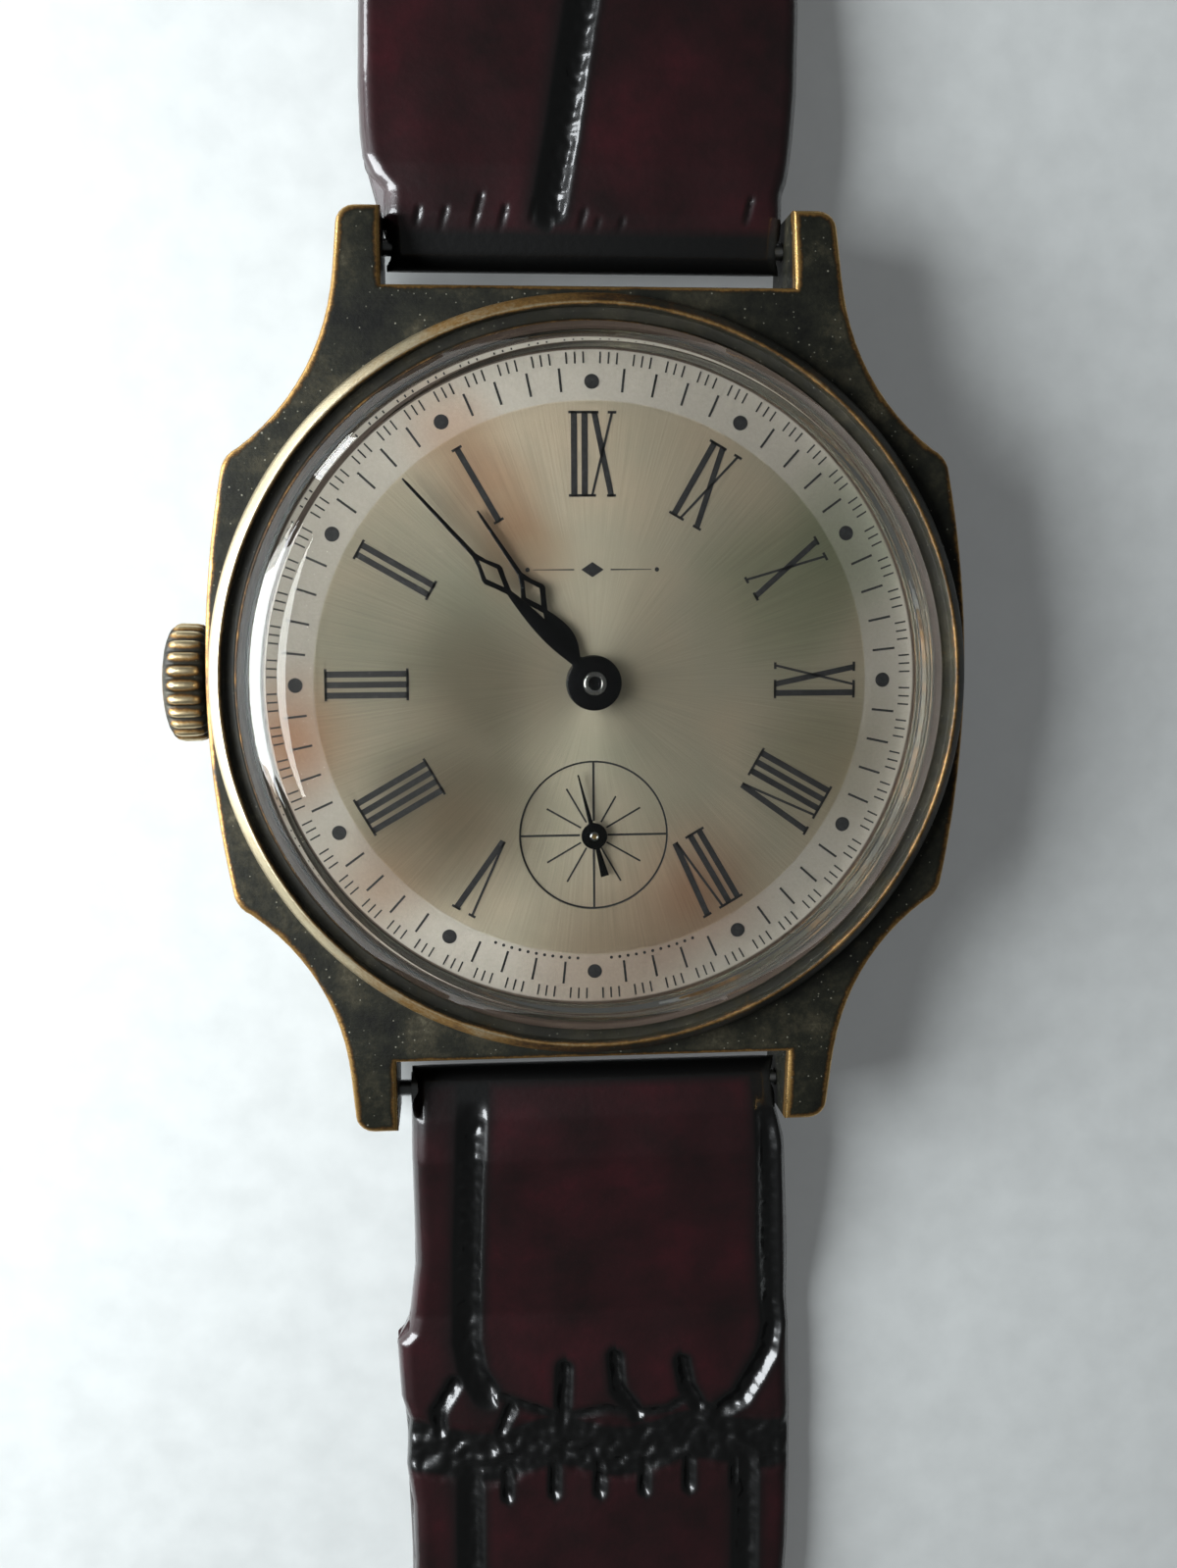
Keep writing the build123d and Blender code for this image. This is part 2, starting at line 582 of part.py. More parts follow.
# ---------------------------------------------------------------- going train
def centre_wheel():
    """Wheel, ten-leaf pinion and the long arbor that carries the minute hand."""
    wheel = toothed(CENTRE_TEETH, CENTRE_MODULE, 2.22, 2.4, CENTRE, direction(CENTRE, THIRD))
    wheel -= crossings(3.5, 0.9, 5, 0.35, 2.22, 2.4, CENTRE)
    pinion_at = gap_at(CENTRE_LEAVES, direction(CENTRE, BARREL))
    pinion = toothed(CENTRE_LEAVES, BARREL_MODULE, 2.4, 3.5, CENTRE, pinion_at)
    return wheel + pinion + disc(0.28, 1.3, 6.9, CENTRE)


def third_wheel():
    wheel = toothed(THIRD_TEETH, THIRD_MODULE, 3.0, 3.15, THIRD, direction(THIRD, FOURTH))
    wheel -= crossings(2.95, 0.6, 4, 0.3, 3.0, 3.15, THIRD)
    pinion_at = gap_at(THIRD_LEAVES, direction(THIRD, CENTRE))
    pinion = toothed(THIRD_LEAVES, CENTRE_MODULE, 2.18, 2.46, THIRD, pinion_at)
    return wheel + pinion + disc(0.2, 2.18, 3.55, THIRD) + disc(0.1, 1.7, 4.0, THIRD)


def fourth_wheel():
    """The wheel that turns once a minute; its arbor passes the plate and carries the seconds hand."""
    wheel = toothed(FOURTH_TEETH, FOURTH_MODULE, 2.55, 2.7, FOURTH, direction(FOURTH, ESCAPE))
    wheel -= crossings(2.75, 0.55, 4, 0.28, 2.55, 2.7, FOURTH)
    pinion_at = gap_at(FOURTH_LEAVES, direction(FOURTH, THIRD))
    pinion = toothed(FOURTH_LEAVES, THIRD_MODULE, 2.9, 3.5, FOURTH, pinion_at)
    arbor = disc(0.2, 2.2, 3.55, FOURTH) + disc(0.1, 1.7, 2.3, FOURTH) + disc(0.12, 3.4, 6.56, FOURTH)
    return wheel + pinion + arbor


def escape_wheel():
    """Fifteen raked club teeth and an eight-leaf pinion."""
    step = 2 * math.pi / ESCAPE_TEETH
    points = []
    for tooth in range(ESCAPE_TEETH):
        for radius, offset in ((1.72, 0.0), (ESCAPE_R, 0.34), (ESCAPE_R - 0.06, 0.5), (1.72, 0.38)):
            angle = (tooth + offset) * step
            points.append((radius * math.cos(angle), radius * math.sin(angle)))
    wheel = plate(points, 3.25, 3.4, ESCAPE) - crossings(1.45, 0.4, 4, 0.22, 3.25, 3.4, ESCAPE)
    pinion_at = gap_at(ESCAPE_LEAVES, direction(ESCAPE, FOURTH))
    pinion = toothed(ESCAPE_LEAVES, FOURTH_MODULE, 2.45, 2.85, ESCAPE, pinion_at)
    return wheel + pinion + disc(0.16, 2.2, 3.55, ESCAPE) + disc(0.1, 1.7, 4.0, ESCAPE)


# ---------------------------------------------------------------- escapement
def pallet_fork():
    """A lever with a notched end towards the balance and two stones that embrace the escape wheel."""
    line = math.degrees(direction(ESCAPE, BALANCE))
    reach = math.dist(PALLET, BALANCE) - 0.48
    lever = [(-0.3, 0.16), (reach - 0.5, 0.12), (reach, 0.3), (reach, 0.12), (reach - 0.28, 0.12)]
    lever += [(x, -y) for x, y in reversed(lever)]
    body = plate(lever, 3.22, 3.42, PALLET, line) + disc(0.3, 3.22, 3.42, PALLET)
    stone_r = ESCAPE_R - 0.06
    for side in (-1, 1):
        angle = math.radians(line + side * 30)
        stone = (ESCAPE[0] + (stone_r + 0.3) * math.cos(angle), ESCAPE[1] + (stone_r + 0.3) * math.sin(angle))
        arm_turn = math.degrees(direction(PALLET, stone))
        arm_length = math.dist(PALLET, stone)
        arm = [(0, 0.16), (arm_length, 0.16), (arm_length, -0.16), (0, -0.16)]
        body += plate(arm, 3.22, 3.42, PALLET, arm_turn)
        body += Pos(stone[0], stone[1], 3.32) * Rot(0, 0, math.degrees(angle)) * Box(0.6, 0.24, 0.2)
    return body + disc(0.1, 2.92, 4.0, PALLET)


def balance_wheel():
    """Rim, three arms, staff, and the roller with its impulse pin."""
    rim = disc(BALANCE_R, 2.45, 2.8, BALANCE) - crossings(3.75, 0.5, 3, 0.4, 2.45, 2.8, BALANCE, turn=40)
    staff = disc(0.2, 1.8, 3.55, BALANCE) + disc(0.1, 1.5, 3.95, BALANCE)
    roller = disc(0.85, 3.04, 3.16, BALANCE)
    pin = disc(0.08, 3.1, 3.44, beyond(BALANCE, ESCAPE, 0.62))
    return rim + staff + roller + pin


def hairspring():
    return spiral(0.45, 2.1, 9, 0.05, 1.95, 2.08, BALANCE)


def regulator():
    """A split index that turns about the balance axis on top of the cock."""
    body = ring(0.95, 0.7, 1.03, 1.23, BALANCE)
    return body + plate([(0.85, 0.12), (2.9, 0.05), (2.9, -0.05), (0.85, -0.12)], 1.03, 1.23, BALANCE, 10)


# ---------------------------------------------------------------- motion work
def cannon_pinion():
    """A leaved tube, a friction fit on the centre arbor, that carries the minute hand."""
    tooth_at = gap_at(CANNON_LEAVES, MOTION_ANGLE)
    leaves = toothed(CANNON_LEAVES, MOTION_MODULE, 5.02, 5.26, CENTRE, tooth_at)
    return leaves + disc(0.52, 5.02, 7.15, CENTRE) - disc(0.3, 4.9, 7.3, CENTRE)


def minute_wheel():
    toward = direction(MINUTE_WHEEL, CENTRE)
    wheel = toothed(MINUTE_WHEEL_TEETH, MOTION_MODULE, 5.05, 5.23, MINUTE_WHEEL, toward)
    pinion_at = gap_at(MINUTE_LEAVES, toward)
    pinion = toothed(MINUTE_LEAVES, HOUR_MODULE, 5.2, 5.62, MINUTE_WHEEL, pinion_at)
    return wheel + pinion - disc(0.24, 4.9, 5.8, MINUTE_WHEEL)


def hour_wheel():
    wheel = toothed(HOUR_TEETH, HOUR_MODULE, 5.36, 5.56, CENTRE, direction(CENTRE, MINUTE_WHEEL))
    return wheel + disc(0.82, 5.36, 6.66, CENTRE) - disc(0.56, 5.2, 6.8, CENTRE)


# ---------------------------------------------------------------- keyless work
def stem():
    """A stepped rod: crown thread, shoulder with the lever's groove, square and inner pilot."""
    body = rod_x(STEM_R, -18.3, -11.3)
    body -= rod_x(0.8, -12.2, -11.8) - rod_x(0.3, -12.3, -11.7)
    body += rod_x(0.38, -11.4, -9.9)
    body += block(-9.95, -7.3, -0.25, 0.25, STEM_Z - 0.25, STEM_Z + 0.25)
    return body + rod_x(0.3, -7.4, -6.45)


def winding_pinion():
    """Radial teeth that drive the crown wheel, and a face towards the clutch."""
    teeth = toothed(WINDING_PINION_TEETH, 0.17, 0, 0.6)
    body = teeth + disc(1.25, 0.5, 1.0) - disc(0.42, -0.1, 1.2)
    return Pos(-11.05, 0, STEM_Z) * Rot(0, 90, 0) * body


def clutch_pinion():
    """A sliding pinion on the stem's square, with a groove for the yoke."""
    body = disc(0.95, 0, 2.0) - (disc(1.1, 0.8, 1.2) - disc(0.65, 0.7, 1.3))
    body -= Pos(0, 0, 1.0) * Box(0.56, 0.56, 3.0)
    return Pos(-9.95, 0, STEM_Z) * Rot(0, 90, 0) * body


def setting_lever():
    """A lever on the dial side whose pin sits in the stem's groove."""
    bar = [(-0.45, -0.5), (0.45, -0.5), (0.35, 2.55), (-0.35, 2.55)]
    pivot = (-12.0, 2.2)
    body = plate(bar, 5.0, 5.18, pivot, 180)
    return body + disc(0.15, 3.38, 5.05, (-12.0, 0.0)) - disc(0.2, 4.9, 5.3, pivot)


def yoke():
    """A lever whose finger sits in the clutch's groove."""
    pivot = (-8.95, -3.2)
    bar = [(-0.4, -0.4), (0.4, -0.4), (0.3, 3.45), (-0.3, 3.45)]
    body = plate(bar, 5.0, 5.18, pivot, 0)
    return body + disc(0.14, 3.72, 5.05, (-8.95, 0.0)) - disc(0.2, 4.9, 5.3, pivot)


def setting_bridge():
    """A thin cover that holds the lever and the yoke down."""
    outline = [(-11.7, 3.1), (-7.9, 2.9), (-7.2, 0.0), (-7.9, -4.0), (-10.3, -4.0), (-11.5, -1.5)]
    return plate(outline, 5.24, 5.44) - disc(0.35, 5.1, 5.6, (-8.2, 1.5))


# ---------------------------------------------------------------- spring bars
def spring_bars():
    """Two hollow tubes with crimped ends, one between each pair of lugs."""
    bars = []
    for side in (-1, 1):
        tube = rod_x(BAR_R, -8.4, 8.4, side * BAR_Y, BAR_Z)
        for end in (-1, 1):
            x_from = 6.2 if end > 0 else -8.2
            tube -= rod_x(0.58, x_from, x_from + 2.0, side * BAR_Y, BAR_Z)
            x_from = 8.0 if end > 0 else -9.0
            tube -= rod_x(BAR_TIP_R + RUNNING_GAP, x_from, x_from + 1.0, side * BAR_Y, BAR_Z)
        bars += list(tube.solids())
    return Compound(children=bars)


def bar_tip(side, end):
    """One sprung tip: a collar kept inside the tube and a pin that stands in the lug's hole."""
    collar_from = 7.4 if end > 0 else -8.17
    pin_from = 8.1 if end > 0 else -9.75
    collar = rod_x(0.54, collar_from, collar_from + 0.77, side * BAR_Y, BAR_Z)
    return collar + rod_x(BAR_TIP_R, pin_from, pin_from + 1.65, side * BAR_Y, BAR_Z)


# ---------------------------------------------------------------- strap
def strap_half_width(y, tip_y):
    """Half the strap's width at a distance y from the hands' axis."""
    if y < 21.6:
        return STRAP_LUG_WIDTH / 2
    if y < 25.0:
        return (STRAP_LUG_WIDTH + (STRAP_WIDE - STRAP_LUG_WIDTH) * (y - 21.6) / 3.4) / 2
    return (STRAP_WIDE + (STRAP_END_WIDTH - STRAP_WIDE) * min(1.0, (y - 25.0) / (tip_y - 25.0))) / 2


def strap_plan(y_from, y_to, tip_y):
    """The strap's outline seen from above between two distances, as a tall prism."""
    stations = [y_from] + [y for y in (21.6, 25.0) if y_from < y < y_to] + [y_to]
    right = [(strap_half_width(y, tip_y), y) for y in stations]
    left = [(-x, y) for x, y in reversed(right)]
    return plate(right + left, -5, 12)


def side_extrusion(points):
    """A prism along X from (y, z) points."""
    face = make_face(Polyline(*points, close=True))
    return Rot(0, 0, 90) * Rot(90, 0, 0) * extrude(face, amount=STRAP_WIDE, both=True)


def knuckle(y, z, radius):
    return rod_x(radius, -12, 12, y, z)


def strap_first(flex_y, strap_z, tip_y):
    """The segment that loops round the spring bar and ends in a rounded knuckle."""
    half = STRAP_THICK / 2
    upper = [(BAR_Y, BAR_Z + STRAP_LOOP_R), (22.5, BAR_Z + 1.38), (31.0, strap_z + half), (flex_y, strap_z + half)]
    lower = [(flex_y, strap_z - half), (28.0, strap_z - half), (BAR_Y, BAR_Z - STRAP_LOOP_R)]
    body = side_extrusion(upper + lower) + knuckle(BAR_Y, BAR_Z, STRAP_LOOP_R)
    body += knuckle(flex_y, strap_z, half)
    body -= knuckle(BAR_Y, BAR_Z, BAR_R + 0.05)
    return body & strap_plan(BAR_Y - 2, flex_y + 2, tip_y)


def strap_run(y_from, y_to, strap_z, tip_y, rounded_end=True):
    """A straight segment, hollow where it takes the last knuckle and round where it ends in one."""
    half = STRAP_THICK / 2
    body = block(-12, 12, y_from, y_to, strap_z - half, strap_z + half)
    body -= knuckle(y_from, strap_z, half + FLEX_GAP)
    end = y_to
    if rounded_end:
        body += knuckle(y_to, strap_z, half)
        end = y_to + 2
    return body & strap_plan(y_from, end, tip_y)


def strap_top_end():
    """The last top segment: a slotted loop round the buckle's bar."""
    body = strap_run(TOP_FLEX_Y[1], BUCKLE_BAR_Y, TOP_STRAP_Z, BUCKLE_BAR_Y, rounded_end=False)
    loop = knuckle(BUCKLE_BAR_Y, TOP_STRAP_Z, 1.3) & block(-8.0, 8.0, 80, 100, -2, 6)
    body = body + loop - knuckle(BUCKLE_BAR_Y, TOP_STRAP_Z, BUCKLE_BAR_R + 0.05)
    return body - block(-1.3, 1.3, BUCKLE_BAR_Y - 3.2, BUCKLE_BAR_Y + 3, -2, 6)


def strap_bottom_end():
    """The holed segment with its pointed tip."""
    body = strap_run(BOTTOM_FLEX_Y[2], STRAP_TIP_Y, BOTTOM_STRAP_Z, STRAP_TIP_Y, rounded_end=False)
    end_half = STRAP_END_WIDTH / 2
    tip = make_face(
        [
            Line((-12, 85), (12, 85)),
            Line((12, 85), (12, STRAP_TIP_Y - 9)),
            Line((12, STRAP_TIP_Y - 9), (end_half + 0.2, STRAP_TIP_Y - 9)),
            ThreePointArc((end_half + 0.2, STRAP_TIP_Y - 9), (end_half - 2.6, STRAP_TIP_Y - 3.1), (0, STRAP_TIP_Y)),
            ThreePointArc((0, STRAP_TIP_Y), (2.6 - end_half, STRAP_TIP_Y - 3.1), (-end_half - 0.2, STRAP_TIP_Y - 9)),
            Line((-end_half - 0.2, STRAP_TIP_Y - 9), (-12, STRAP_TIP_Y - 9)),
            Line((-12, STRAP_TIP_Y - 9), (-12, 85)),
        ]
    )
    return body & extrude(tip, amount=8)


def strap_holes():
    """Buckle holes, evenly spaced along the middle of the strap."""
    return [disc(HOLE_R, -1, 5, (0, HOLE_FIRST_Y + HOLE_PITCH * i)) for i in range(HOLE_COUNT)]


def half_turned(shape):
    """Turned half round the hands' axis, so the run to +Y becomes the run to 6 o'clock."""
    return Rot(0, 0, 180) * shape


def strap_bottom(index):
    stations = BOTTOM_FLEX_Y
    if index == 0:
        body = strap_first(stations[0], BOTTOM_STRAP_Z, STRAP_TIP_Y)
    elif index < 3:
        body = strap_run(stations[index - 1], stations[index], BOTTOM_STRAP_Z, STRAP_TIP_Y)
    else:
        body = strap_bottom_end()
    for hole in strap_holes():
        body -= hole
    return half_turned(body)


def keeper(y, low, top):
    """A leather loop round both strap ends."""
    half = 8.95
    outer = block(-half - KEEPER_WALL, half + KEEPER_WALL, y, y + KEEPER_WIDE, low, top)
    return outer - block(-half, half, y - 1, y + KEEPER_WIDE + 1, low + KEEPER_WALL, top - KEEPER_WALL)


def buckle_frame():
    """A bent frame: two arms from the bar and a stouter front rail."""
    outer = block(-10.0, 10.0, BUCKLE_BAR_Y - 1.2, BUCKLE_BAR_Y + 11.0, 1.2, 3.0)
    outer -= block(-8.3, 8.3, BUCKLE_BAR_Y - 2.0, BUCKLE_BAR_Y + 9.2, 0.5, 4.0)
    rail = knuckle(BUCKLE_BAR_Y + 10.2, 2.1, 1.1) & block(-9.7, 9.7, 80, 110, 0, 6)
    frame = outer + rail
    return frame - rod_x(BUCKLE_BAR_R, -9.4, 9.4, BUCKLE_BAR_Y, TOP_STRAP_Z)


def buckle_bar():
    return rod_x(BUCKLE_BAR_R, -9.4, 9.4, BUCKLE_BAR_Y, TOP_STRAP_Z)


def buckle_tang():
    """A wire tongue wrapped on the bar that rests on the frame's front rail."""
    sheath = rod_x(1.05, -1.1, 1.1, BUCKLE_BAR_Y, TOP_STRAP_Z)
    points = [(90.2, 2.1), (90.2, 3.1), (99.2, 4.55), (101.4, 4.4), (101.4, 3.55), (99.4, 3.5), (92.0, 2.1)]
    face = make_face(Polyline(*points, close=True))
    tongue = Rot(0, 0, 90) * Rot(90, 0, 0) * extrude(face, amount=0.6, both=True)
    body = sheath + tongue
    body -= knuckle(BUCKLE_BAR_Y + 10.2, 2.1, 1.2)
    return body - rod_x(BUCKLE_BAR_R + 0.05, -2, 2, BUCKLE_BAR_Y, TOP_STRAP_Z)


# ---------------------------------------------------------------- every node
NODES = {
    "case_middle": case_middle,
    "bezel": bezel,
    "crystal": crystal,
    "case_back": case_back,
    "crown_tube": crown_tube,
    "crown": crown,
    "movement_ring": movement_ring,
    "dial": dial,
    "hour_hand": hour_hand,
    "minute_hand": minute_hand,
    "seconds_hand": seconds_hand,
    "main_plate": main_plate,
    "barrel_bridge": barrel_bridge,
    "train_bridge": train_bridge,
    "pallet_bridge": pallet_bridge,
    "balance_cock": balance_cock,
    "movement_screws": movement_screws,
    "jewels": jewels,
    "barrel_drum": barrel_drum,
    "barrel_cover": barrel_cover,
    "barrel_arbor": barrel_arbor,
    "mainspring": mainspring,
    "ratchet_wheel": ratchet_wheel,
    "crown_wheel": crown_wheel,
    "click": click,
    "click_spring": click_spring,
    "centre_wheel": centre_wheel,
    "third_wheel": third_wheel,
    "fourth_wheel": fourth_wheel,
    "escape_wheel": escape_wheel,
    "pallet_fork": pallet_fork,
    "balance_wheel": balance_wheel,
    "hairspring": hairspring,
    "regulator": regulator,
    "cannon_pinion": cannon_pinion,
    "minute_wheel": minute_wheel,
    "hour_wheel": hour_wheel,
    "stem": stem,
    "winding_pinion": winding_pinion,
    "clutch_pinion": clutch_pinion,
    "setting_lever": setting_lever,
    "yoke": yoke,
    "setting_bridge": setting_bridge,
    "spring_bars": spring_bars,
    "bar_tip_12_left": lambda: bar_tip(1, -1),
    "bar_tip_12_right": lambda: bar_tip(1, 1),
    "bar_tip_6_left": lambda: bar_tip(-1, -1),
    "bar_tip_6_right": lambda: bar_tip(-1, 1),
    "strap_top_1": lambda: strap_first(TOP_FLEX_Y[0], TOP_STRAP_Z, BUCKLE_BAR_Y),
    "strap_top_2": lambda: strap_run(*TOP_FLEX_Y, TOP_STRAP_Z, BUCKLE_BAR_Y),
    "strap_top_3": strap_top_end,
    "strap_bottom_1": lambda: strap_bottom(0),
    "strap_bottom_2": lambda: strap_bottom(1),
    "strap_bottom_3": lambda: strap_bottom(2),
    "strap_bottom_4": lambda: strap_bottom(3),
    "fixed_keeper": lambda: keeper(82.5, 0.0, 6.2),
    "free_keeper": lambda: keeper(74.0, 0.0, 6.2),
    "buckle_frame": buckle_frame,
    "buckle_bar": buckle_bar,
    "buckle_tang": buckle_tang,
}

for node, make in NODES.items():
    save(node, make())
print(len(NODES), "nodes written")
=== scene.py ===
"""A hand-wound wristwatch: worn brass case, silvered dial, and a patent leather strap embossed as
crocodile."""

import math

import bmesh
import bpy
import numpy as np
from mathutils import Matrix, Vector, noise


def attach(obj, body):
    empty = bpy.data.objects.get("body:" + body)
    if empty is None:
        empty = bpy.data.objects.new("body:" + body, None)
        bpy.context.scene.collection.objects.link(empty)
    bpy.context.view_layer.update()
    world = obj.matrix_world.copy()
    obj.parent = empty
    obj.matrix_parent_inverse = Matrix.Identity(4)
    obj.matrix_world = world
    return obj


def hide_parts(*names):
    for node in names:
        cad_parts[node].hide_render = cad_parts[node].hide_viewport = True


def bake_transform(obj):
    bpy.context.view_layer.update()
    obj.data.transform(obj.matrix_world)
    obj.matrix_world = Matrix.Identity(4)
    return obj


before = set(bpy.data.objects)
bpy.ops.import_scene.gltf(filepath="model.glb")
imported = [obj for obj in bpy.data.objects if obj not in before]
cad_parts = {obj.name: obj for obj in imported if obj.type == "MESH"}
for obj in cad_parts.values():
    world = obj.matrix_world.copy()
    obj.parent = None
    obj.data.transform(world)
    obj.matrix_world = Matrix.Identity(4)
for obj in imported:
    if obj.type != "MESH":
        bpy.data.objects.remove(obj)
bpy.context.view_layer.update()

# Shapes are modelled in millimetres and scaled once, when the piece is made.
MM = 0.001

# case
DECK_Z = 6.4
CASE_LOW = 0.85
LUG_INNER_X = 8.95
LUG_TIP_Y = 20.45
BAR_Y, BAR_Z = 19.2, 3.1
STEM_Z = 3.0

# dial and hands
DIAL_Z = 6.2
INK_THICK = 0.014
SECONDS_Y = -6.83
SECONDS_DIAL_Z = 6.12
HOUR_ANGLE, MINUTE_ANGLE, SECOND_ANGLE = 123.8, 132.9, 104.5

# Aged lacquer on the dial: centre x and y, reach, how strong, and its tint.
DIAL_STAINS = [
    (-5.8, 10.6, 3.4, 0.45, "#e8ac80"),
    (-4.2, 8.2, 3.2, 0.5, "#e8a878"),
    (-2.9, 5.8, 2.8, 0.45, "#e8ac80"),
    (-13.4, -2.4, 4.0, 0.8, "#f0b48c"),
    (-9.6, -9.0, 4.0, 0.6, "#cfa98c"),
    (4.6, -9.4, 4.6, 0.7, "#d8a58c"),
    (9.4, 4.6, 6.0, 0.4, "#adb492"),
    (10.6, -3.4, 5.0, 0.4, "#b4ad88"),
    (-5.0, -0.2, 4.6, 0.55, "#8f8678"),
    (-6.2, -6.2, 6.0, 0.85, "#8c8072"),
    (12.5, 6.0, 5.0, 0.6, "#c4d2c8"),
    (1.0, -12.6, 6.0, 0.6, "#cdb19f"),
]

# strap
STRAP_NOSE_R = 1.05
STRAP_THICK = 2.2
BUCKLE_Y = 90.0
TIP_Y = 131.0

# camera: its place in millimetres, its turns in degrees, and its lens on a 36 mm sensor
CAMERA_PLACE = (-5.91, 3.55, 75.5)
CAMERA_TILT = ((6.61, "X"), (4.75, "Y"), (0.33, "Z"))
LENS_MM = 36.02


# ------------------------------------------------------------------ colours and nodes
def linear(code):
    """A hex colour as the linear colour that shaders take."""
    values = [int(code[i : i + 2], 16) / 255 for i in (1, 3, 5)]
    return (*[v / 12.92 if v <= 0.04045 else ((v + 0.055) / 1.055) ** 2.4 for v in values], 1.0)


def add(tree, kind, sockets=(), stops=(), out=0, **settings):
    """Adds one node and gives back its output out. settings are its own choices, stops a ramp's colours, and
    sockets its inputs: a value, or an output to link."""
    made = tree.nodes.new("ShaderNode" + kind)
    for name, value in settings.items():
        setattr(made, name, value)
    for index, (place, colour) in enumerate(stops):
        ramp = made.color_ramp.elements
        stop = ramp[index] if index < 2 else ramp.new(place)
        stop.position, stop.color = place, linear(colour)
    for name, value in dict(sockets).items():
        if isinstance(value, bpy.types.NodeSocket):
            tree.links.new(value, made.inputs[name])
        else:
            made.inputs[name].default_value = value
    return made.outputs[out] if made.outputs else None


def surface(made, sockets):
    """Ends a material with its shader."""
    shader = add(made.node_tree, "BsdfPrincipled", sockets)
    add(made.node_tree, "OutputMaterial", {"Surface": shader})
    return made


def start_material(name):
    """An empty material, its node tree, and the place on the piece that its patterns follow."""
    made = bpy.data.materials.new(name)
    made.use_nodes = True
    made.node_tree.nodes.clear()
    return made, made.node_tree, add(made.node_tree, "TexCoord", out="Object")


def per(size_mm):
    """The scale of a pattern on Object coordinates whose features are size_mm across."""
    return 1 / (size_mm * MM)


def clouds(tree, place, size_mm, detail, roughness=0.5):
    """Noise whose features are size_mm across."""
    sockets = {"Vector": place, "Scale": per(size_mm), "Detail": detail, "Roughness": roughness}
    return add(tree, "TexNoise", sockets)


def ramp(tree, amount, stops):
    """A run of colours. The first two stops are its ends, and the rest lie between."""
    return add(tree, "ValToRGB", {"Fac": amount}, stops)


def weighted(tree, value, weight, rest):
    """value times weight, plus rest."""
    return add(tree, "Math", {0: value, 1: weight, 2: rest}, operation="MULTIPLY_ADD")


def mixed(tree, amount, under, over, way="MIX"):
    """Lays one colour over another."""
    sockets = {0: amount, "A": under, "B": over}
    return add(tree, "Mix", sockets, out="Result", data_type="RGBA", blend_type=way)


def raised(tree, height, strength, distance):
    """Fine relief, distance metres high."""
    return add(tree, "Bump", {"Height": height, "Strength": strength, "Distance": distance})


# ------------------------------------------------------------------ materials
def worn_brass(
    name, wear_from, wear_to, patina="#1d1c17", tarnish="#4b3620", bare="#c9a468", dust=0.5, mottling=0.8,
    polish=0.27,
):
    """Darkened brass, handled until the high edges are bare: the eye sees near-black fields with an olive
    bloom, brown halos and pale gold rims. The attribute wear is 1 on an edge, and on the bezel it also holds
    a painted sheen on the side towards the lamp. wear_from and wear_to place the bare metal, and polish is
    how rough it is."""
    made, tree, place = start_material(name)
    wear_and_sheen = add(tree, "Attribute", attribute_name="wear_and_sheen", out="Fac")
    blotch = clouds(tree, place, 1.6, 6.0, 0.68)
    grit = clouds(tree, place, 0.16, 3.0, 0.6)
    # patches of bare metal eat in from the edge, with a ragged border
    ragged = weighted(tree, blotch, 0.9, wear_and_sheen)
    broken = weighted(tree, grit, 0.35, ragged)
    bareness = add(tree, "MapRange", {"Value": broken, "From Min": wear_from, "From Max": wear_to})
    colour = add(
        tree,
        "ValToRGB",
        {"Fac": bareness},
        stops=[(0.0, patina), (1.0, bare), (0.2, "#262419"), (0.38, tarnish), (0.62, "#94713f")],
    )
    # a thin grey bloom and olive clouds lie over the dark fields only
    cloud = clouds(tree, place, 3.4, 7.0, 0.74)
    mottle = ramp(tree, cloud, [(0.36, "#0a0a08"), (0.7, "#6a6552"), (0.5, "#24241b"), (0.6, "#403c2e")])
    shaded = add(tree, "MapRange", {"Value": bareness, "From Min": 0.35, "From Max": 0.0, "To Max": mottling})
    clouded = mixed(tree, shaded, colour, mottle)
    # dust and pinpricks in the patina
    crumbs = add(tree, "TexVoronoi", {"Vector": place, "Scale": per(0.36), "Randomness": 1.0})
    worn_speck = weighted(tree, blotch, 0.2, crumbs)
    speck = add(tree, "MapRange", {"Value": worn_speck, "From Min": 0.22, "From Max": 0.14, "To Max": dust})
    dusty = mixed(tree, speck, clouded, linear("#a5a291"))
    metal = add(tree, "MapRange", {"Value": bareness, "To Min": 0.35, "To Max": 1.0})
    rough = add(tree, "MapRange", {"Value": bareness, "To Min": 0.5, "To Max": polish})
    # scratches run along one direction, far longer than they are wide
    stretched = add(
        tree, "Mapping", {"Vector": place, "Rotation": (0, 0, 0.7), "Scale": (per(4.0), per(0.06), per(0.5))},
    )
    scratch = add(tree, "TexNoise", {"Vector": stretched, "Scale": 1.0, "Detail": 2.0})
    relief = weighted(tree, scratch, 0.5, grit)
    bump = raised(tree, relief, 0.35, 0.00003)
    return surface(made, {
        "Base Color": dusty,
        "Metallic": metal,
        "Roughness": rough,
        "Normal": bump,
    })


def blasted_brass():
    """The sunk track of the bezel, sand blasted then blackened: a dark grain with pale pinpricks."""
    made, tree, place = start_material("blasted_blackened_brass")
    grains = add(tree, "TexVoronoi", {"Vector": place, "Scale": per(0.14)})
    drift = clouds(tree, place, 1.5, 4.0)
    tone = weighted(tree, drift, 0.6, grains)
    colour = ramp(tree, tone, [(0.3, "#1c1b17"), (1.0, "#8f8a7b"), (0.7, "#3d3a31")])
    bump = raised(tree, grains, 0.8, 0.00005)
    return surface(made, {"Base Color": colour, "Metallic": 0.7, "Roughness": 0.42, "Normal": bump})


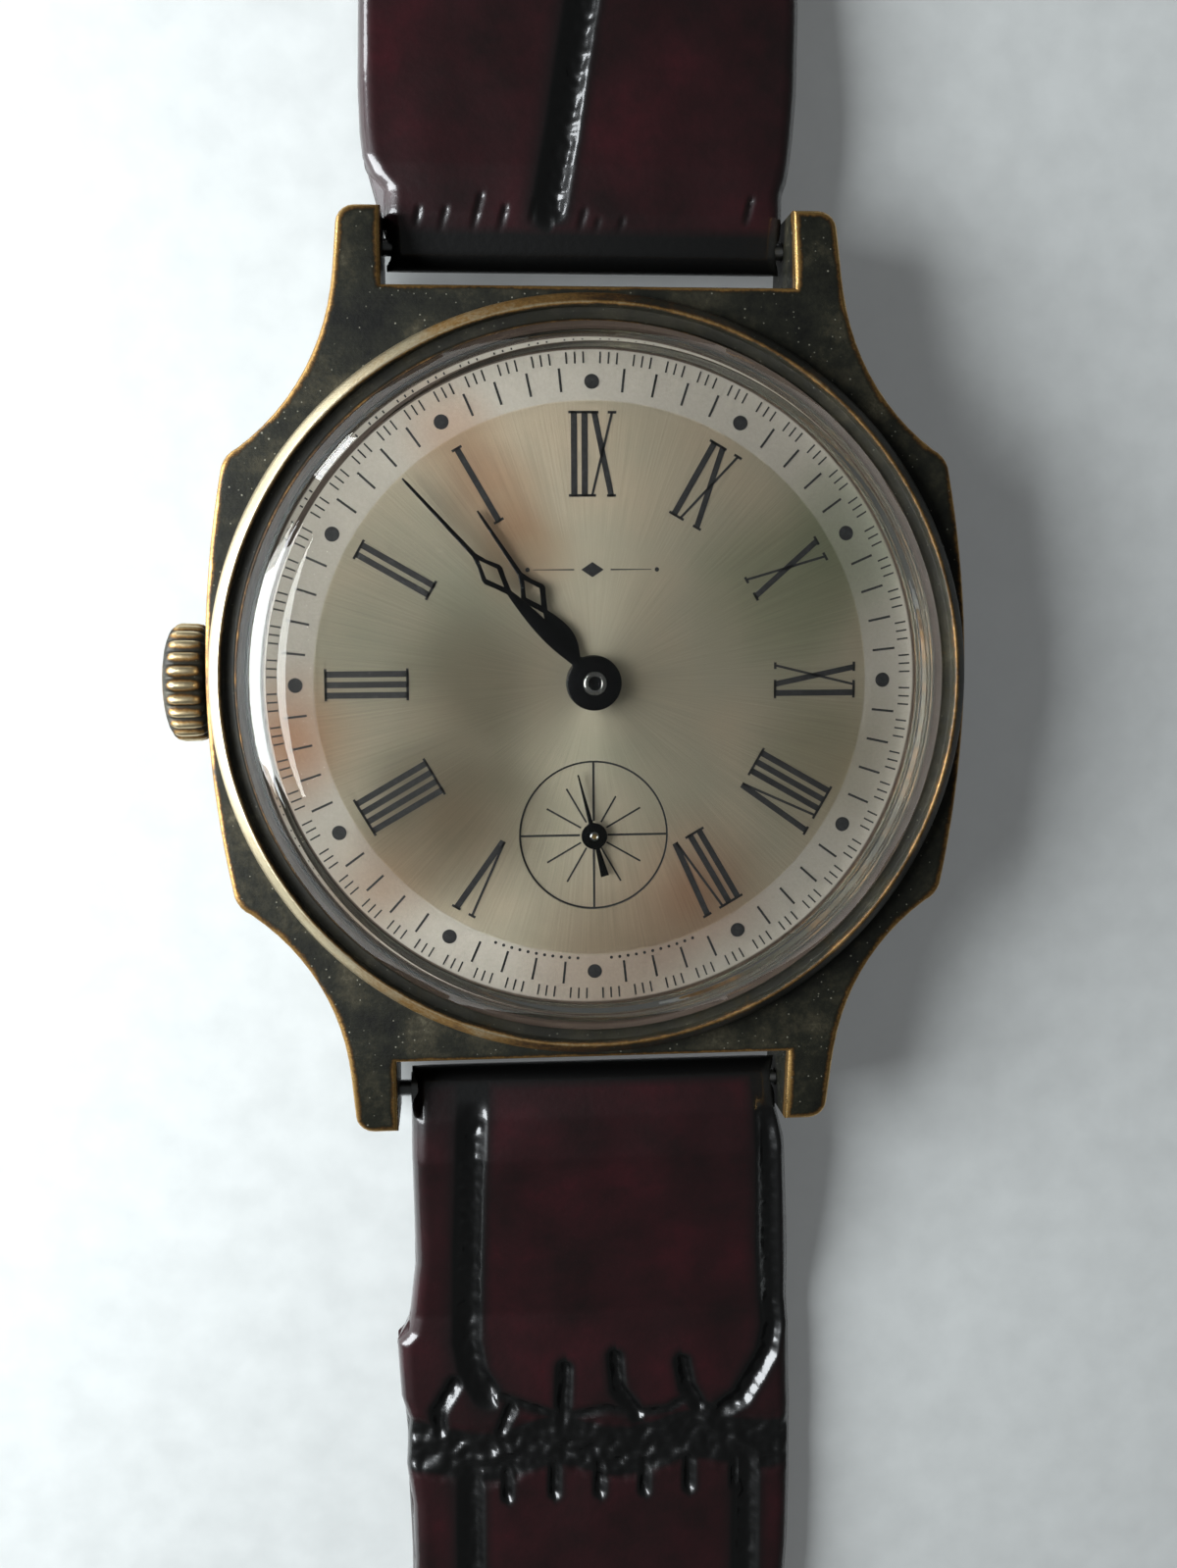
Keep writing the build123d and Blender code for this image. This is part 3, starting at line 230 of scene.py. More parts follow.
def acrylic():
    """Clear cast acrylic, polished: bright at its bevel, and it bends what is seen through the rim."""
    made, _, _ = start_material("polished_acrylic")
    return surface(made, {
        "Base Color": linear("#fbfaf4"),
        "Roughness": 0.0,
        "IOR": 1.49,
        "Transmission Weight": 1.0,
    })


def silvered_dial():
    """Silvered brass: the middle is brushed out from the centre, so light fans into two rays; the
    chapter ring is grained and matt. The lacquer has yellowed and gone faintly green and pink."""
    made, tree, place = start_material("silvered_sunburst_dial")
    along_x, along_y = add(tree, "SeparateXYZ", {0: place}).node.outputs[:2]
    flat = add(tree, "CombineXYZ", {"X": along_x, "Y": along_y})
    radius = add(tree, "VectorMath", {0: flat}, operation="LENGTH", out="Value")
    turn = add(tree, "Math", {0: along_y, 1: along_x}, operation="ARCTAN2")
    on_ring = add(tree, "MapRange", {"Value": radius, "From Min": 12.16 * MM, "From Max": 12.24 * MM})
    # brush lines: noise that changes fast round the dial and hardly at all along the radius
    ray = add(tree, "CombineXYZ", {"X": turn, "Y": radius})
    stretched = add(tree, "Mapping", {"Vector": ray, "Scale": (130.0, per(6.0), 1.0)})
    brush = add(tree, "TexNoise", {"Vector": stretched, "Scale": 1.0, "Detail": 4.0, "Roughness": 0.7})
    grain = clouds(tree, place, 0.12, 2.0)
    stain = clouds(tree, place, 7.0, 2.0, 0.5)
    centre = ramp(tree, stain, [(0.3, "#858272"), (0.7, "#968a78"), (0.5, "#8d8676")])
    lined = add(
        tree, "MapRange", {"Value": brush, "From Min": 0.3, "From Max": 0.7, "To Min": 0.85, "To Max": 1.08},
    )
    streaked = mixed(tree, 1.0, centre, lined, "MULTIPLY")
    speckled = add(tree, "MapRange", {"Value": grain, "To Min": 0.88, "To Max": 1.08})
    ring_colour = mixed(tree, 1.0, linear("#87827a"), speckled, "MULTIPLY")
    colour = mixed(tree, on_ring, streaked, ring_colour)
    toned = colour
    for x, y, reach, amount, stain_colour in DIAL_STAINS:
        spot = add(tree, "CombineXYZ", {"X": x * MM, "Y": y * MM})
        away = add(tree, "VectorMath", {0: flat, 1: spot}, out="Value", operation="DISTANCE")
        ragged = weighted(tree, stain, reach * 0.8 * MM, away)
        cover = add(
            tree,
            "MapRange",
            {"Value": ragged, "From Min": reach * 1.4 * MM, "From Max": reach * 0.5 * MM, "To Max": amount},
            interpolation_type="SMOOTHSTEP",
        )
        toned = mixed(tree, cover, toned, linear(stain_colour), "MULTIPLY")
    # painted reflection: a dark brown ring under the crystal's foot stands in for the dark case seen bent
    # through the crystal's bevel
    foot = add(tree, "MapRange", {"Value": radius, "From Min": 14.38 * MM, "From Max": 14.46 * MM})
    toned = mixed(tree, foot, toned, linear("#32261d"))
    rough = add(tree, "MapRange", {"Value": on_ring, "To Min": 0.38, "To Max": 0.5})
    metal = add(tree, "MapRange", {"Value": on_ring, "To Min": 0.7, "To Max": 0.5})
    relief = mixed(tree, on_ring, brush, grain)
    bump = raised(tree, relief, 0.25, 0.00003)
    around = add(tree, "Tangent", direction_type="RADIAL", axis="Z")
    return surface(made, {
        "Base Color": toned,
        "Metallic": metal,
        "Roughness": rough,
        "Normal": bump,
        "Anisotropic": 0.65,
        "Tangent": around,
    })


def printing_ink():
    """Pad-printed ink, thin and slightly glossy, a little broken where it has aged."""
    made, tree, place = start_material("pad_printed_ink")
    worn = clouds(tree, place, 0.22, 4.0, 0.7)
    colour = ramp(tree, worn, [(0.45, "#0b0b0d"), (0.85, "#4a4640"), (0.66, "#1a1a1c")])
    bump = raised(tree, worn, 0.2, 0.00001)
    return surface(made, {"Base Color": colour, "Roughness": 0.6, "Specular IOR Level": 0.25, "Normal": bump})


def metal(name, colours, roughness, grain_mm, stretch=1.0, strength=0.15, anisotropic=0.0):
    """Bare or plated metal. colours are its dark and light tones, grain_mm its finish: a stretch above
    1 draws brush lines along X, and 1 gives an even grain."""
    made, tree, place = start_material(name)
    stretched = add(
        tree, "Mapping", {"Vector": place, "Scale": (per(grain_mm * stretch), per(grain_mm), per(grain_mm))},
    )
    grain = add(tree, "TexNoise", {"Vector": stretched, "Scale": 1.0, "Detail": 3.0, "Roughness": 0.6})
    drift = clouds(tree, place, 3.0, 3.0)
    tone = weighted(tree, grain, 0.5, drift)
    colour = ramp(tree, tone, [(0.45, colours[0]), (1.0, colours[1])])
    rough = add(tree, "MapRange", {"Value": grain, "To Min": roughness * 0.8, "To Max": roughness * 1.25})
    bump = raised(tree, grain, strength, 0.00002)
    return surface(made, {
        "Base Color": colour,
        "Metallic": 1.0,
        "Roughness": rough,
        "Normal": bump,
        "Anisotropic": anisotropic,
    })


def ruby():
    """Synthetic ruby, polished: a deep pink-red that lets a little light in."""
    made, tree, place = start_material("synthetic_ruby")
    cloud = clouds(tree, place, 0.5, 2.0)
    colour = ramp(tree, cloud, [(0.3, "#7a0a26"), (0.8, "#c02550")])
    return surface(made, {"Base Color": colour, "Roughness": 0.08, "IOR": 1.76, "Coat Weight": 0.5})


def patent_leather():
    """Calf, embossed as crocodile and lacquered: oxblood scales and a wet shine that breaks up over a fine
    pebble. The attribute valley is 1 in a groove: it carries painted shade, which darkens the grooves, the
    sunk bands and the fold over the spring bar towards black; on the keepers it darkens the ends of the loop."""
    made, tree, place = start_material("patent_crocodile_leather")
    valley = add(tree, "Attribute", attribute_name="valley", out="Fac")
    cloud = clouds(tree, place, 5.0, 5.0, 0.62)
    fine = clouds(tree, place, 0.35, 4.0, 0.6)
    plate = ramp(tree, cloud, [(0.35, "#150607"), (0.75, "#340c13"), (0.55, "#24090d")])
    # painted shade: where valley is high, ragged by the cloud, the oxblood is darkened to near black
    depth = weighted(tree, cloud, 0.35, valley)
    painted_valley_shade = add(tree, "MapRange", {"Value": depth, "From Min": 0.28, "From Max": 0.75})
    colour = mixed(tree, painted_valley_shade, plate, linear("#060606"))
    pebble = add(tree, "TexVoronoi", {"Vector": place, "Scale": per(0.3)}, feature="SMOOTH_F1")
    relief = weighted(tree, pebble, 0.35, fine)
    bump = raised(tree, relief, 0.25, 0.00004)
    return surface(made, {
        "Base Color": colour,
        "Roughness": 0.36,
        "Normal": bump,
        "Coat Weight": 0.8,
        "Coat Roughness": 0.08,
        "Coat Normal": bump,
    })


def lining_leather():
    """The strap's underside: tanned calf, matt, with fine pores and creases."""
    made, tree, place = start_material("calf_lining")
    pores = add(tree, "TexVoronoi", {"Vector": place, "Scale": per(0.28)})
    crease = clouds(tree, place, 1.4, 6.0, 0.7)
    colour = ramp(tree, crease, [(0.3, "#3c2416"), (0.75, "#6d4629")])
    relief = weighted(tree, pores, 0.6, crease)
    bump = raised(tree, relief, 0.4, 0.00006)
    return surface(made, {"Base Color": colour, "Roughness": 0.62, "Normal": bump})


def edge_paint():
    """Lacquer painted on the strap's cut edges: plum black, thick and rounded."""
    made, tree, place = start_material("edge_lacquer")
    drift = clouds(tree, place, 1.2, 4.0)
    colour = ramp(tree, drift, [(0.3, "#0e090b"), (0.8, "#2a1a1e")])
    bump = raised(tree, drift, 0.3, 0.0001)
    return surface(
        made,
        {"Base Color": colour, "Roughness": 0.25, "Normal": bump, "Coat Weight": 0.6, "Coat Roughness": 0.1},
    )


def painted_floor():
    """A plain pale matt surface under the watch, which glows faintly though it is no lamp: painted light that
    lifts the shade in the gaps between the case and the strap.
    """
    made, tree, place = start_material("glowing_matt_white_board")
    tooth = clouds(tree, place, 2.0, 3.0)
    colour = ramp(tree, tooth, [(0.3, "#bcbfbd"), (0.7, "#c6c9c7")])
    return surface(
        made,
        {
            # painted light: the board's faint glow of its own
            "Base Color": colour, "Roughness": 0.8, "Emission Color": linear("#eef2f4"),
            "Emission Strength": 0.12,
        },
    )


CASE_BRASS = worn_brass("patinated_brass", 0.72, 1.5, patina="#171811", dust=0.7)
BEZEL_BRASS = worn_brass(
    "handled_brass", 0.6, 1.5, patina="#1f1d17", bare="#d0c2a2", dust=0.25, mottling=0.4, polish=0.4,
)
CROWN_BRASS = worn_brass(
    "fluted_brass", 0.6, 1.6, patina="#1b1712", bare="#d2c09a", dust=0.2, mottling=0.4, polish=0.36,
)
TRACK_BRASS = blasted_brass()
ACRYLIC = acrylic()
DIAL_SILVER = silvered_dial()
INK = printing_ink()
BLACK_STEEL = metal("blackened_steel", ("#0c0d10", "#26282c"), 0.22, 0.08)
POLISHED_STEEL = metal("polished_steel", ("#8f9092", "#c9cacb"), 0.16, 0.1)
BRUSHED_STEEL = metal("brushed_steel", ("#7e7f80", "#b5b6b6"), 0.32, 0.05, stretch=30.0, strength=0.3)
PLATED = metal("rhodium_plated_brass", ("#9d9c97", "#c9c8c2"), 0.3, 0.06, stretch=20.0, strength=0.25)
GILT = metal("gilt_brass", ("#a5823f", "#dcbb72"), 0.26, 0.06)
BUCKLE_BRASS = metal("polished_brass", ("#93753f", "#d2b272"), 0.2, 0.12)
RUBY = ruby()
PATENT = patent_leather()
LINING = lining_leather()
EDGE = edge_paint()


# ------------------------------------------------------------------ building helpers
def to_mesh(name, bm):
    """Writes a bmesh to a new mesh, and lets go of the bmesh."""
    mesh = bpy.data.meshes.new(name)
    bm.to_mesh(mesh)
    bm.free()
    return mesh


def join(bm, other):
    """Adds a second bmesh to the first."""
    mesh = to_mesh("joined", other)
    bm.from_mesh(mesh)
    bpy.data.meshes.remove(mesh)


def tube_rows(bm, segments, count):
    """A tube of count rings of vertices, to be moved to their places one ring at a time."""
    rows = [bmesh.ops.create_circle(bm, segments=segments, radius=1.0)["verts"]]
    edges = bm.edges[:]
    for _ in range(count - 1):
        made = bmesh.ops.extrude_edge_only(bm, edges=edges)["geom"]
        edges = [g for g in made if isinstance(g, bmesh.types.BMEdge) and g.is_boundary]
        rows.append([g for g in made if isinstance(g, bmesh.types.BMVert)])
    return rows


def finish_mesh(name, bm, materials, body, sharp=40.0, merge=0.0004):
    """Turns a bmesh in millimetres into a piece that rides on a body."""
    bmesh.ops.remove_doubles(bm, verts=bm.verts, dist=merge)
    bmesh.ops.recalc_face_normals(bm, faces=bm.faces)
    bmesh.ops.scale(bm, vec=(MM, MM, MM), verts=bm.verts)
    return make_piece(name, to_mesh(name, bm), materials, body, sharp)


def make_piece(name, mesh, materials, body, sharp=40.0):
    """Links a mesh as an object with its materials, and lets it ride on a body if one is named."""
    piece = bpy.data.objects.new(name, mesh)
    bpy.context.scene.collection.objects.link(piece)
    mesh.materials.clear()
    for made in materials:
        mesh.materials.append(made)
    mesh.shade_smooth()
    mesh.set_sharp_from_angle(angle=math.radians(sharp))
    if body:
        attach(piece, body)
    return piece


def cut(piece, cutters):
    """Takes closed bmeshes, in millimetres, out of a piece."""
    for cutter in cutters:
        bmesh.ops.recalc_face_normals(cutter, faces=cutter.faces)
        bmesh.ops.scale(cutter, vec=(MM, MM, MM), verts=cutter.verts)
        tool = bpy.data.objects.new("cutter", to_mesh("cutter", cutter))
        bpy.context.scene.collection.objects.link(tool)
        boolean = piece.modifiers.new("cut", "BOOLEAN")
        boolean.operation = "DIFFERENCE"
        boolean.solver = "EXACT"
        boolean.object = tool
        bpy.context.view_layer.update()
        shown = piece.evaluated_get(bpy.context.evaluated_depsgraph_get())
        result = bpy.data.meshes.new_from_object(shown)
        piece.modifiers.clear()
        old, piece.data = piece.data, result
        bpy.data.meshes.remove(old)
        bpy.data.objects.remove(tool)
    return piece


def cylinder(radius, length, at, axis="Z", segments=64):
    """A closed cylinder centred on at, along X, Y or Z."""
    bm = bmesh.new()
    turn = {
        "X": Matrix.Rotation(math.pi / 2, 4, "Y"), "Y": Matrix.Rotation(math.pi / 2, 4, "X"), "Z": Matrix(),
    }[axis]
    bmesh.ops.create_cone(
        bm,
        cap_ends=True,
        segments=segments,
        radius1=radius,
        radius2=radius,
        depth=length,
        matrix=Matrix.Translation(at) @ turn,
    )
    return bm


def arc(start, through, end, steps):
    """Points on the arc through three points, without its first point."""
    ax, ay = start
    bx, by = through
    cx, cy = end
    d = 2 * (ax * (by - cy) + bx * (cy - ay) + cx * (ay - by))
    ux = ((ax**2 + ay**2) * (by - cy) + (bx**2 + by**2) * (cy - ay) + (cx**2 + cy**2) * (ay - by)) / d
    uy = ((ax**2 + ay**2) * (cx - bx) + (bx**2 + by**2) * (ax - cx) + (cx**2 + cy**2) * (bx - ax)) / d
    centre = Vector((ux, uy))
    first, middle, last = [(Vector(p) - centre) for p in (start, through, end)]
    sweep = first.angle_signed(middle) + middle.angle_signed(last)
    return [tuple(centre + Matrix.Rotation(-sweep * i / steps, 2) @ first) for i in range(1, steps + 1)]


def plate(points, z, bm=None):
    """A flat face through points at height z, in a new bmesh or the one given."""
    bm = bm or bmesh.new()
    face = bm.faces.new([bm.verts.new((x, y, z)) for x, y in points])
    face.normal_update()
    if face.normal.z < 0:
        face.normal_flip()
    return bm, face


def thicken(bm, faces, depth):
    """Extrudes faces down by depth into a closed solid."""
    made = bmesh.ops.extrude_face_region(bm, geom=faces)
    moved = [v for v in made["geom"] if isinstance(v, bmesh.types.BMVert)]
    bmesh.ops.translate(bm, verts=moved, vec=(0, 0, -depth))
    return moved


def round_edges(bm, width, segments, keep):
    """Rounds the edges that keep() picks."""
    edges = [e for e in bm.edges if keep(e)]
    return bmesh.ops.bevel(
        bm,
        geom=edges,
        offset=width,
        offset_type="OFFSET",
        affect="EDGES",
        segments=segments,
        profile=0.5,
        material=-1,
    )


def corner_angle(edge):
    return math.degrees(edge.calc_face_angle(0.0))


def turned(profile, steps, close=False):
    """A full turn of a profile of (radius, height) points about Z."""
    bm = bmesh.new()
    verts = [bm.verts.new((r, 0, z)) for r, z in profile]
    edges = [bm.edges.new(pair) for pair in zip(verts, verts[1:])]
    if close:
        edges.append(bm.edges.new((verts[-1], verts[0])))
    bmesh.ops.spin(
        bm,
        geom=verts + edges,
        cent=(0, 0, 0),
        axis=(0, 0, 1),
        angle=2 * math.pi,
        steps=steps,
        use_merge=True,
    )
    bmesh.ops.remove_doubles(bm, verts=bm.verts, dist=0.0005)
    return bm


def paint(piece, name, values):
    """Stores one number for each vertex under a name that materials read."""
    layer = piece.data.attributes.new(name, "FLOAT", "POINT")
    layer.data.foreach_set("value", np.asarray(values, np.float32))


def places(piece):
    """Every vertex of a piece, in millimetres."""
    flat = np.empty(len(piece.data.vertices) * 3, np.float32)
    piece.data.vertices.foreach_get("co", flat)
    return flat.reshape(-1, 3).astype(float) / MM


def distance_to(points, line, closed=False):
    """How far each 2D point is from a polyline, and which side of it the point is on."""
    line = np.asarray(line, float)
    ends = np.roll(line, -1, axis=0) if closed else line[1:]
    starts = line if closed else line[:-1]
    nearest = np.full(len(points), 1e9)
    side = np.zeros(len(points))
    for a, b in zip(starts, ends):
        run = b - a
        t = np.clip(((points - a) @ run) / max(run @ run, 1e-9), 0, 1)
        away = points - (a + t[:, None] * run)
        gap = np.hypot(away[:, 0], away[:, 1])
        closer = gap < nearest
        nearest[closer] = gap[closer]
        side[closer] = np.sign(run[0] * away[closer, 1] - run[1] * away[closer, 0])
    return nearest, side


def dress(nodes, made):
    """Gives carried-over nodes a material."""
    for name in nodes:
        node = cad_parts[name]
        node.data.materials.clear()
        node.data.materials.append(made)


# ------------------------------------------------------------------ case
def case_outline():
    """Half of the plan from the crown side round to the other side, then mirrored: bowed sides, soft
    corners, hollow flanks and square lugs."""
    quarter = [(16.85, 0.0)]
    quarter += arc((16.85, 0.0), (16.45, 6.0), (15.95, 9.1), 10)
    quarter += arc((15.95, 9.1), (15.72, 9.72), (15.2, 10.15), 5)
    quarter += arc((15.2, 10.15), (12.35, 13.3), (11.0, 17.6), 12)
    quarter += [(10.9, 18.9), (10.85, 19.65)]
    quarter += arc((10.85, 19.65), (10.6, 20.22), (10.05, LUG_TIP_Y), 5)
    quarter += [(LUG_INNER_X, LUG_TIP_Y), (LUG_INNER_X, 17.03)]
    upper = quarter + [(-x, y) for x, y in reversed(quarter)][:-1]
    return upper + [(-16.85, 0.0)] + [(x, -y) for x, y in reversed(upper[1:])]


def deck_height(y):
    """The deck is flat, and droops along the lugs."""
    reach = max(0.0, abs(y) - 16.6)
    return DECK_Z - 0.026 * reach**2 - 0.075 * reach


def base_height(y):
    reach = max(0.0, abs(y) - 14.6)
    return CASE_LOW + 0.45 * (reach / 5.85) ** 1.5


def case_middle():
    outline = case_outline()
    bm, face = plate(outline, DECK_Z)
    bmesh.ops.inset_individual(bm, faces=[face], thickness=0.42, use_even_offset=True)
    for step in range(7):
        for side in (-1, 1):
            y = side * (16.8 + step * 0.5)
            everything = bm.verts[:] + bm.edges[:] + bm.faces[:]
            bmesh.ops.bisect_plane(bm, geom=everything, plane_co=(0, y, 0), plane_no=(0, 1, 0), dist=1e-5)
    middle = set(thicken(bm, bm.faces[:], 1.0))
    low = set(thicken(bm, [f for f in bm.faces if middle.issuperset(f.verts)], DECK_Z - CASE_LOW - 1.0))
    for vert in bm.verts:
        deck = deck_height(vert.co.y)
        vert.co.z = base_height(vert.co.y) if vert in low else deck - 1.0 if vert in middle else deck
    bmesh.ops.recalc_face_normals(bm, faces=bm.faces)
    round_edges(bm, 0.2, 4, lambda e: corner_angle(e) > 50 and abs(e.verts[0].co.z - e.verts[1].co.z) < 0.6)
    piece = finish_mesh("case_middle_worn", bm, [CASE_BRASS], "case", sharp=35.0, merge=1e-4)
    cutters = [
        cylinder(14.7, 20, (0, 0, 0), segments=160),
        cylinder(15.0, 2, (0, 0, 6.8), segments=160),
        cylinder(1.0, 6, (-16.5, 0, STEM_Z), "X", 40),
    ]
    for side_x in (-1, 1):
        for side_y in (-1, 1):
            cutters.append(cylinder(0.42, 1.0, (side_x * 9.4, side_y * BAR_Y, BAR_Z), "X", 24))
    cut(piece, cutters)
    co = places(piece)
    gap, _ = distance_to(co[:, :2], outline, closed=True)
    height = np.array([deck_height(y) for y in co[:, 1]])
    rim = np.clip(1 - gap / 0.4, 0, 1) * np.clip(1 - (height - co[:, 2]) / 1.0, 0, 1)
    # the outer corners and lug tips are handled the most
    handled = 0.75 + 0.25 * np.clip((np.hypot(co[:, 0], co[:, 1]) - 17.0) / 4.0, 0, 1)
    paint(piece, "wear_and_sheen", rim * handled)
    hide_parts("case_middle")
    return piece


def bezel():
    """A rounded ridge over a sloping flank; the track inside it is a separate finish."""
    flank = [
        (15.36, 6.4), (16.66, 6.4), (16.68, 6.47), (16.675, 6.68), (16.65, 6.84), (16.6, 6.97), (16.51, 7.09),
        (16.39, 7.21),
    ]
    ridge = [
        (16.27, 7.33), (16.22, 7.375), (16.17, 7.395), (16.12, 7.39), (16.08, 7.34), (16.05, 7.22),
        (16.03, 7.06),
    ]
    track = [(16.01, 6.985), (15.96, 6.965), (15.75, 6.955), (15.58, 6.95), (15.54, 6.965)]
    lip = [(15.52, 7.02), (15.49, 7.06), (15.44, 7.075), (15.38, 7.07), (15.36, 7.04)]
    profile = flank + ridge + track + lip
    bm = turned(profile, 240, close=True)
    for face in bm.faces:
        centre = face.calc_center_median()
        r = math.hypot(centre.x, centre.y)
        if 15.54 < r < 16.03 and centre.z > 6.9:
            face.material_index = 1
    piece = finish_mesh("bezel_ring", bm, [BEZEL_BRASS, TRACK_BRASS], "case", sharp=50.0, merge=1e-5)
    co = places(piece)
    r, z = np.hypot(co[:, 0], co[:, 1]), co[:, 2]
    ridge_wear_and_sheen = np.clip(1 - np.abs(r - 16.18) / 0.16, 0, 1) * (z > 6.9)
    foot_wear = (r > 16.6) * (z < 6.65) * 0.5
    # painted sheen: on the side towards the lamp, which is also the crown side, the flank and ridge are made
    # bare and bright beyond their real wear
    turn = np.arctan2(co[:, 1], co[:, 0])
    lamp_side_sheen = np.clip(0.25 + 0.9 * np.cos(turn - math.radians(175)), 0, 1)
    flank_wear_and_sheen = (r > 16.2) * (0.1 + 0.85 * lamp_side_sheen)
    lip_wear = ((r < 15.52) & (z > 7.0)) * 0.3
    paint(
        piece, "wear_and_sheen",
        np.maximum.reduce([ridge_wear_and_sheen * (0.6 + 0.4 * lamp_side_sheen), foot_wear, flank_wear_and_sheen, lip_wear]),
    )
    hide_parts("bezel")
    return piece


def crystal():
    """A domed crystal with a wide bevelled shoulder."""
    outside = [(15.3, 6.28), (15.3, 7.93), (15.26, 8.0), (14.37, 8.9), (14.27, 8.955), (14.1, 8.99)]
    dome = [(r, 9.35 - 0.36 * (r / 14.1) ** 2) for r in (12.6, 11.0, 9.0, 7.0, 5.0, 3.0, 1.5, 0.0)]
    under = [(r, 8.4 - 0.9 * (r / 14.3) ** 2) for r in (0.0, 1.5, 3.0, 5.0, 7.0, 9.0, 11.0, 12.6, 14.0)]
    inside = [(14.4, 7.35), (14.52, 7.1), (14.55, 6.8), (14.55, 6.28)]
    bm = turned(outside + dome, 200)
    join(bm, turned(under + inside, 200))
    foot = [e for e in bm.edges if e.is_boundary and abs(e.verts[0].co.z - 6.28) < 0.01]
    bmesh.ops.bridge_loops(bm, edges=foot)
    piece = finish_mesh("domed_crystal", bm, [ACRYLIC], "case", sharp=40.0, merge=1e-5)
    # lamps shine straight through it, as they do through clear plastic
    piece.visible_shadow = False
    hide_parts("crystal")
    return piece


def case_back():
    """A snap back with a turned step and a brushed field."""
    profile = [
        (0.0, 0.0), (6.0, 0.0), (12.6, 0.0), (12.75, 0.06), (12.9, 0.06), (13.05, 0.0), (15.05, 0.0),
        (15.2, 0.04),
    ]
    profile += [
        (15.52, 0.34), (15.6, 0.46), (15.6, 0.85), (14.65, 0.85), (14.65, 1.25), (13.9, 1.25), (13.9, 0.75),
        (0.0, 0.75),
    ]
    bm = turned(profile, 160)
    piece = finish_mesh("snap_back", bm, [BEZEL_BRASS], "case", sharp=30.0, merge=1e-5)
    cut(piece, [cylinder(1.1, 0.5, (0, -15.95, 0.2), "Z", 24)])
    co = places(piece)
    r = np.hypot(co[:, 0], co[:, 1])
    paint(piece, "wear_and_sheen", np.clip(1 - np.abs(r - 15.2) / 0.5, 0, 1) * 0.8 + 0.25)
    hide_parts("case_back")
    return piece


def crown():
    """Twenty-four rounded flutes round a domed knob, turned to the crown's side."""
    flutes, fine = 24, 8
    stations = [
        (0.0, 2.1, 0.0), (0.14, 2.42, 0.3), (0.34, 2.6, 0.9), (0.6, 2.66, 1.0), (1.3, 2.68, 1.0),
        (1.5, 2.62, 0.9),
    ]
    stations += [
        (1.68, 2.48, 0.6), (1.82, 2.24, 0.25), (1.92, 1.95, 0.0), (2.02, 1.5, 0.0), (2.08, 0.9, 0.0),
        (2.11, 0.3, 0.0),
    ]
    bm = bmesh.new()
    rows = tube_rows(bm, flutes * fine, len(stations))
    for (height, radius, depth), row in zip(stations, rows):
        for vert in row:
            turn = math.atan2(vert.co.y, vert.co.x)
            dip = (0.5 - 0.5 * math.cos(turn * flutes)) ** 1.6
            r = radius - 0.24 * depth * dip
            vert.co = (r * math.cos(turn), r * math.sin(turn), height)
    bmesh.ops.holes_fill(bm, edges=[e for e in bm.edges if e.is_boundary], sides=0)
    bmesh.ops.recalc_face_normals(bm, faces=bm.faces)
    bmesh.ops.rotate(bm, verts=bm.verts, cent=(0, 0, 0), matrix=Matrix.Rotation(-math.pi / 2, 3, "Y"))
    bmesh.ops.translate(bm, verts=bm.verts, vec=(-17.0, 0, STEM_Z))
    piece = finish_mesh("fluted_crown", bm, [CROWN_BRASS], "crown", sharp=60.0, merge=1e-5)
    co = places(piece)
    r = np.hypot(co[:, 1], co[:, 2] - STEM_Z)
    high = np.clip((r - 2.42) / 0.24, 0, 1)
    face = np.clip((-17.0 - co[:, 0] - 1.8) / 0.2, 0, 1) * 0.7
    paint(piece, "wear_and_sheen", np.maximum(high, face))
    cut(piece, [cylinder(1.08, 2.0, (-16.95, 0, STEM_Z), "X", 40)])
    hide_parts("crown")
    return piece


# ------------------------------------------------------------------ dial printing
class Print:
    """Flat printed shapes gathered in one thin mesh."""

    def __init__(self, z):
        self.bm = bmesh.new()
        self.z = z

    def shape(self, points, at=(0.0, 0.0), turn=0.0):
        c, s = math.cos(turn), math.sin(turn)
        placed = [(at[0] + x * c - y * s, at[1] + x * s + y * c) for x, y in points]
        _, face = plate(placed, self.z + INK_THICK, self.bm)
        thicken(self.bm, [face], INK_THICK)

    def stroke(self, x0, y0, x1, y1, width, at=(0.0, 0.0), turn=0.0):
        """A stroke between two heights with level ends."""
        half = width / 2
        self.shape([(x0 - half, y0), (x0 + half, y0), (x1 + half, y1), (x1 - half, y1)], at, turn)

    def dot(self, radius, at, sides=28):
        step = 2 * math.pi / sides
        self.shape([(radius * math.cos(i * step), radius * math.sin(i * step)) for i in range(sides)], at)

    def band(self, radius, width, at, sides=120):
        """A thin printed circle."""
        mesh = self.bm
        centre = Matrix.Translation((at[0], at[1], self.z + INK_THICK))
        rings = [
            bmesh.ops.create_circle(
                mesh, segments=sides, radius=r, matrix=centre,
            )["verts"] for r in (radius - width / 2, radius + width / 2)
        ]
        edges = [e for e in mesh.edges if e.is_wire and (e.verts[0] in rings[0] or e.verts[0] in rings[1])]
        faces = bmesh.ops.bridge_loops(mesh, edges=edges)["faces"]
        thicken(mesh, faces, INK_THICK)


GLYPH_LOW, GLYPH_HIGH = 8.1, 11.75
SERIF = 0.11
STEM_WIDE, HAIR_WIDE = 0.27, 0.11


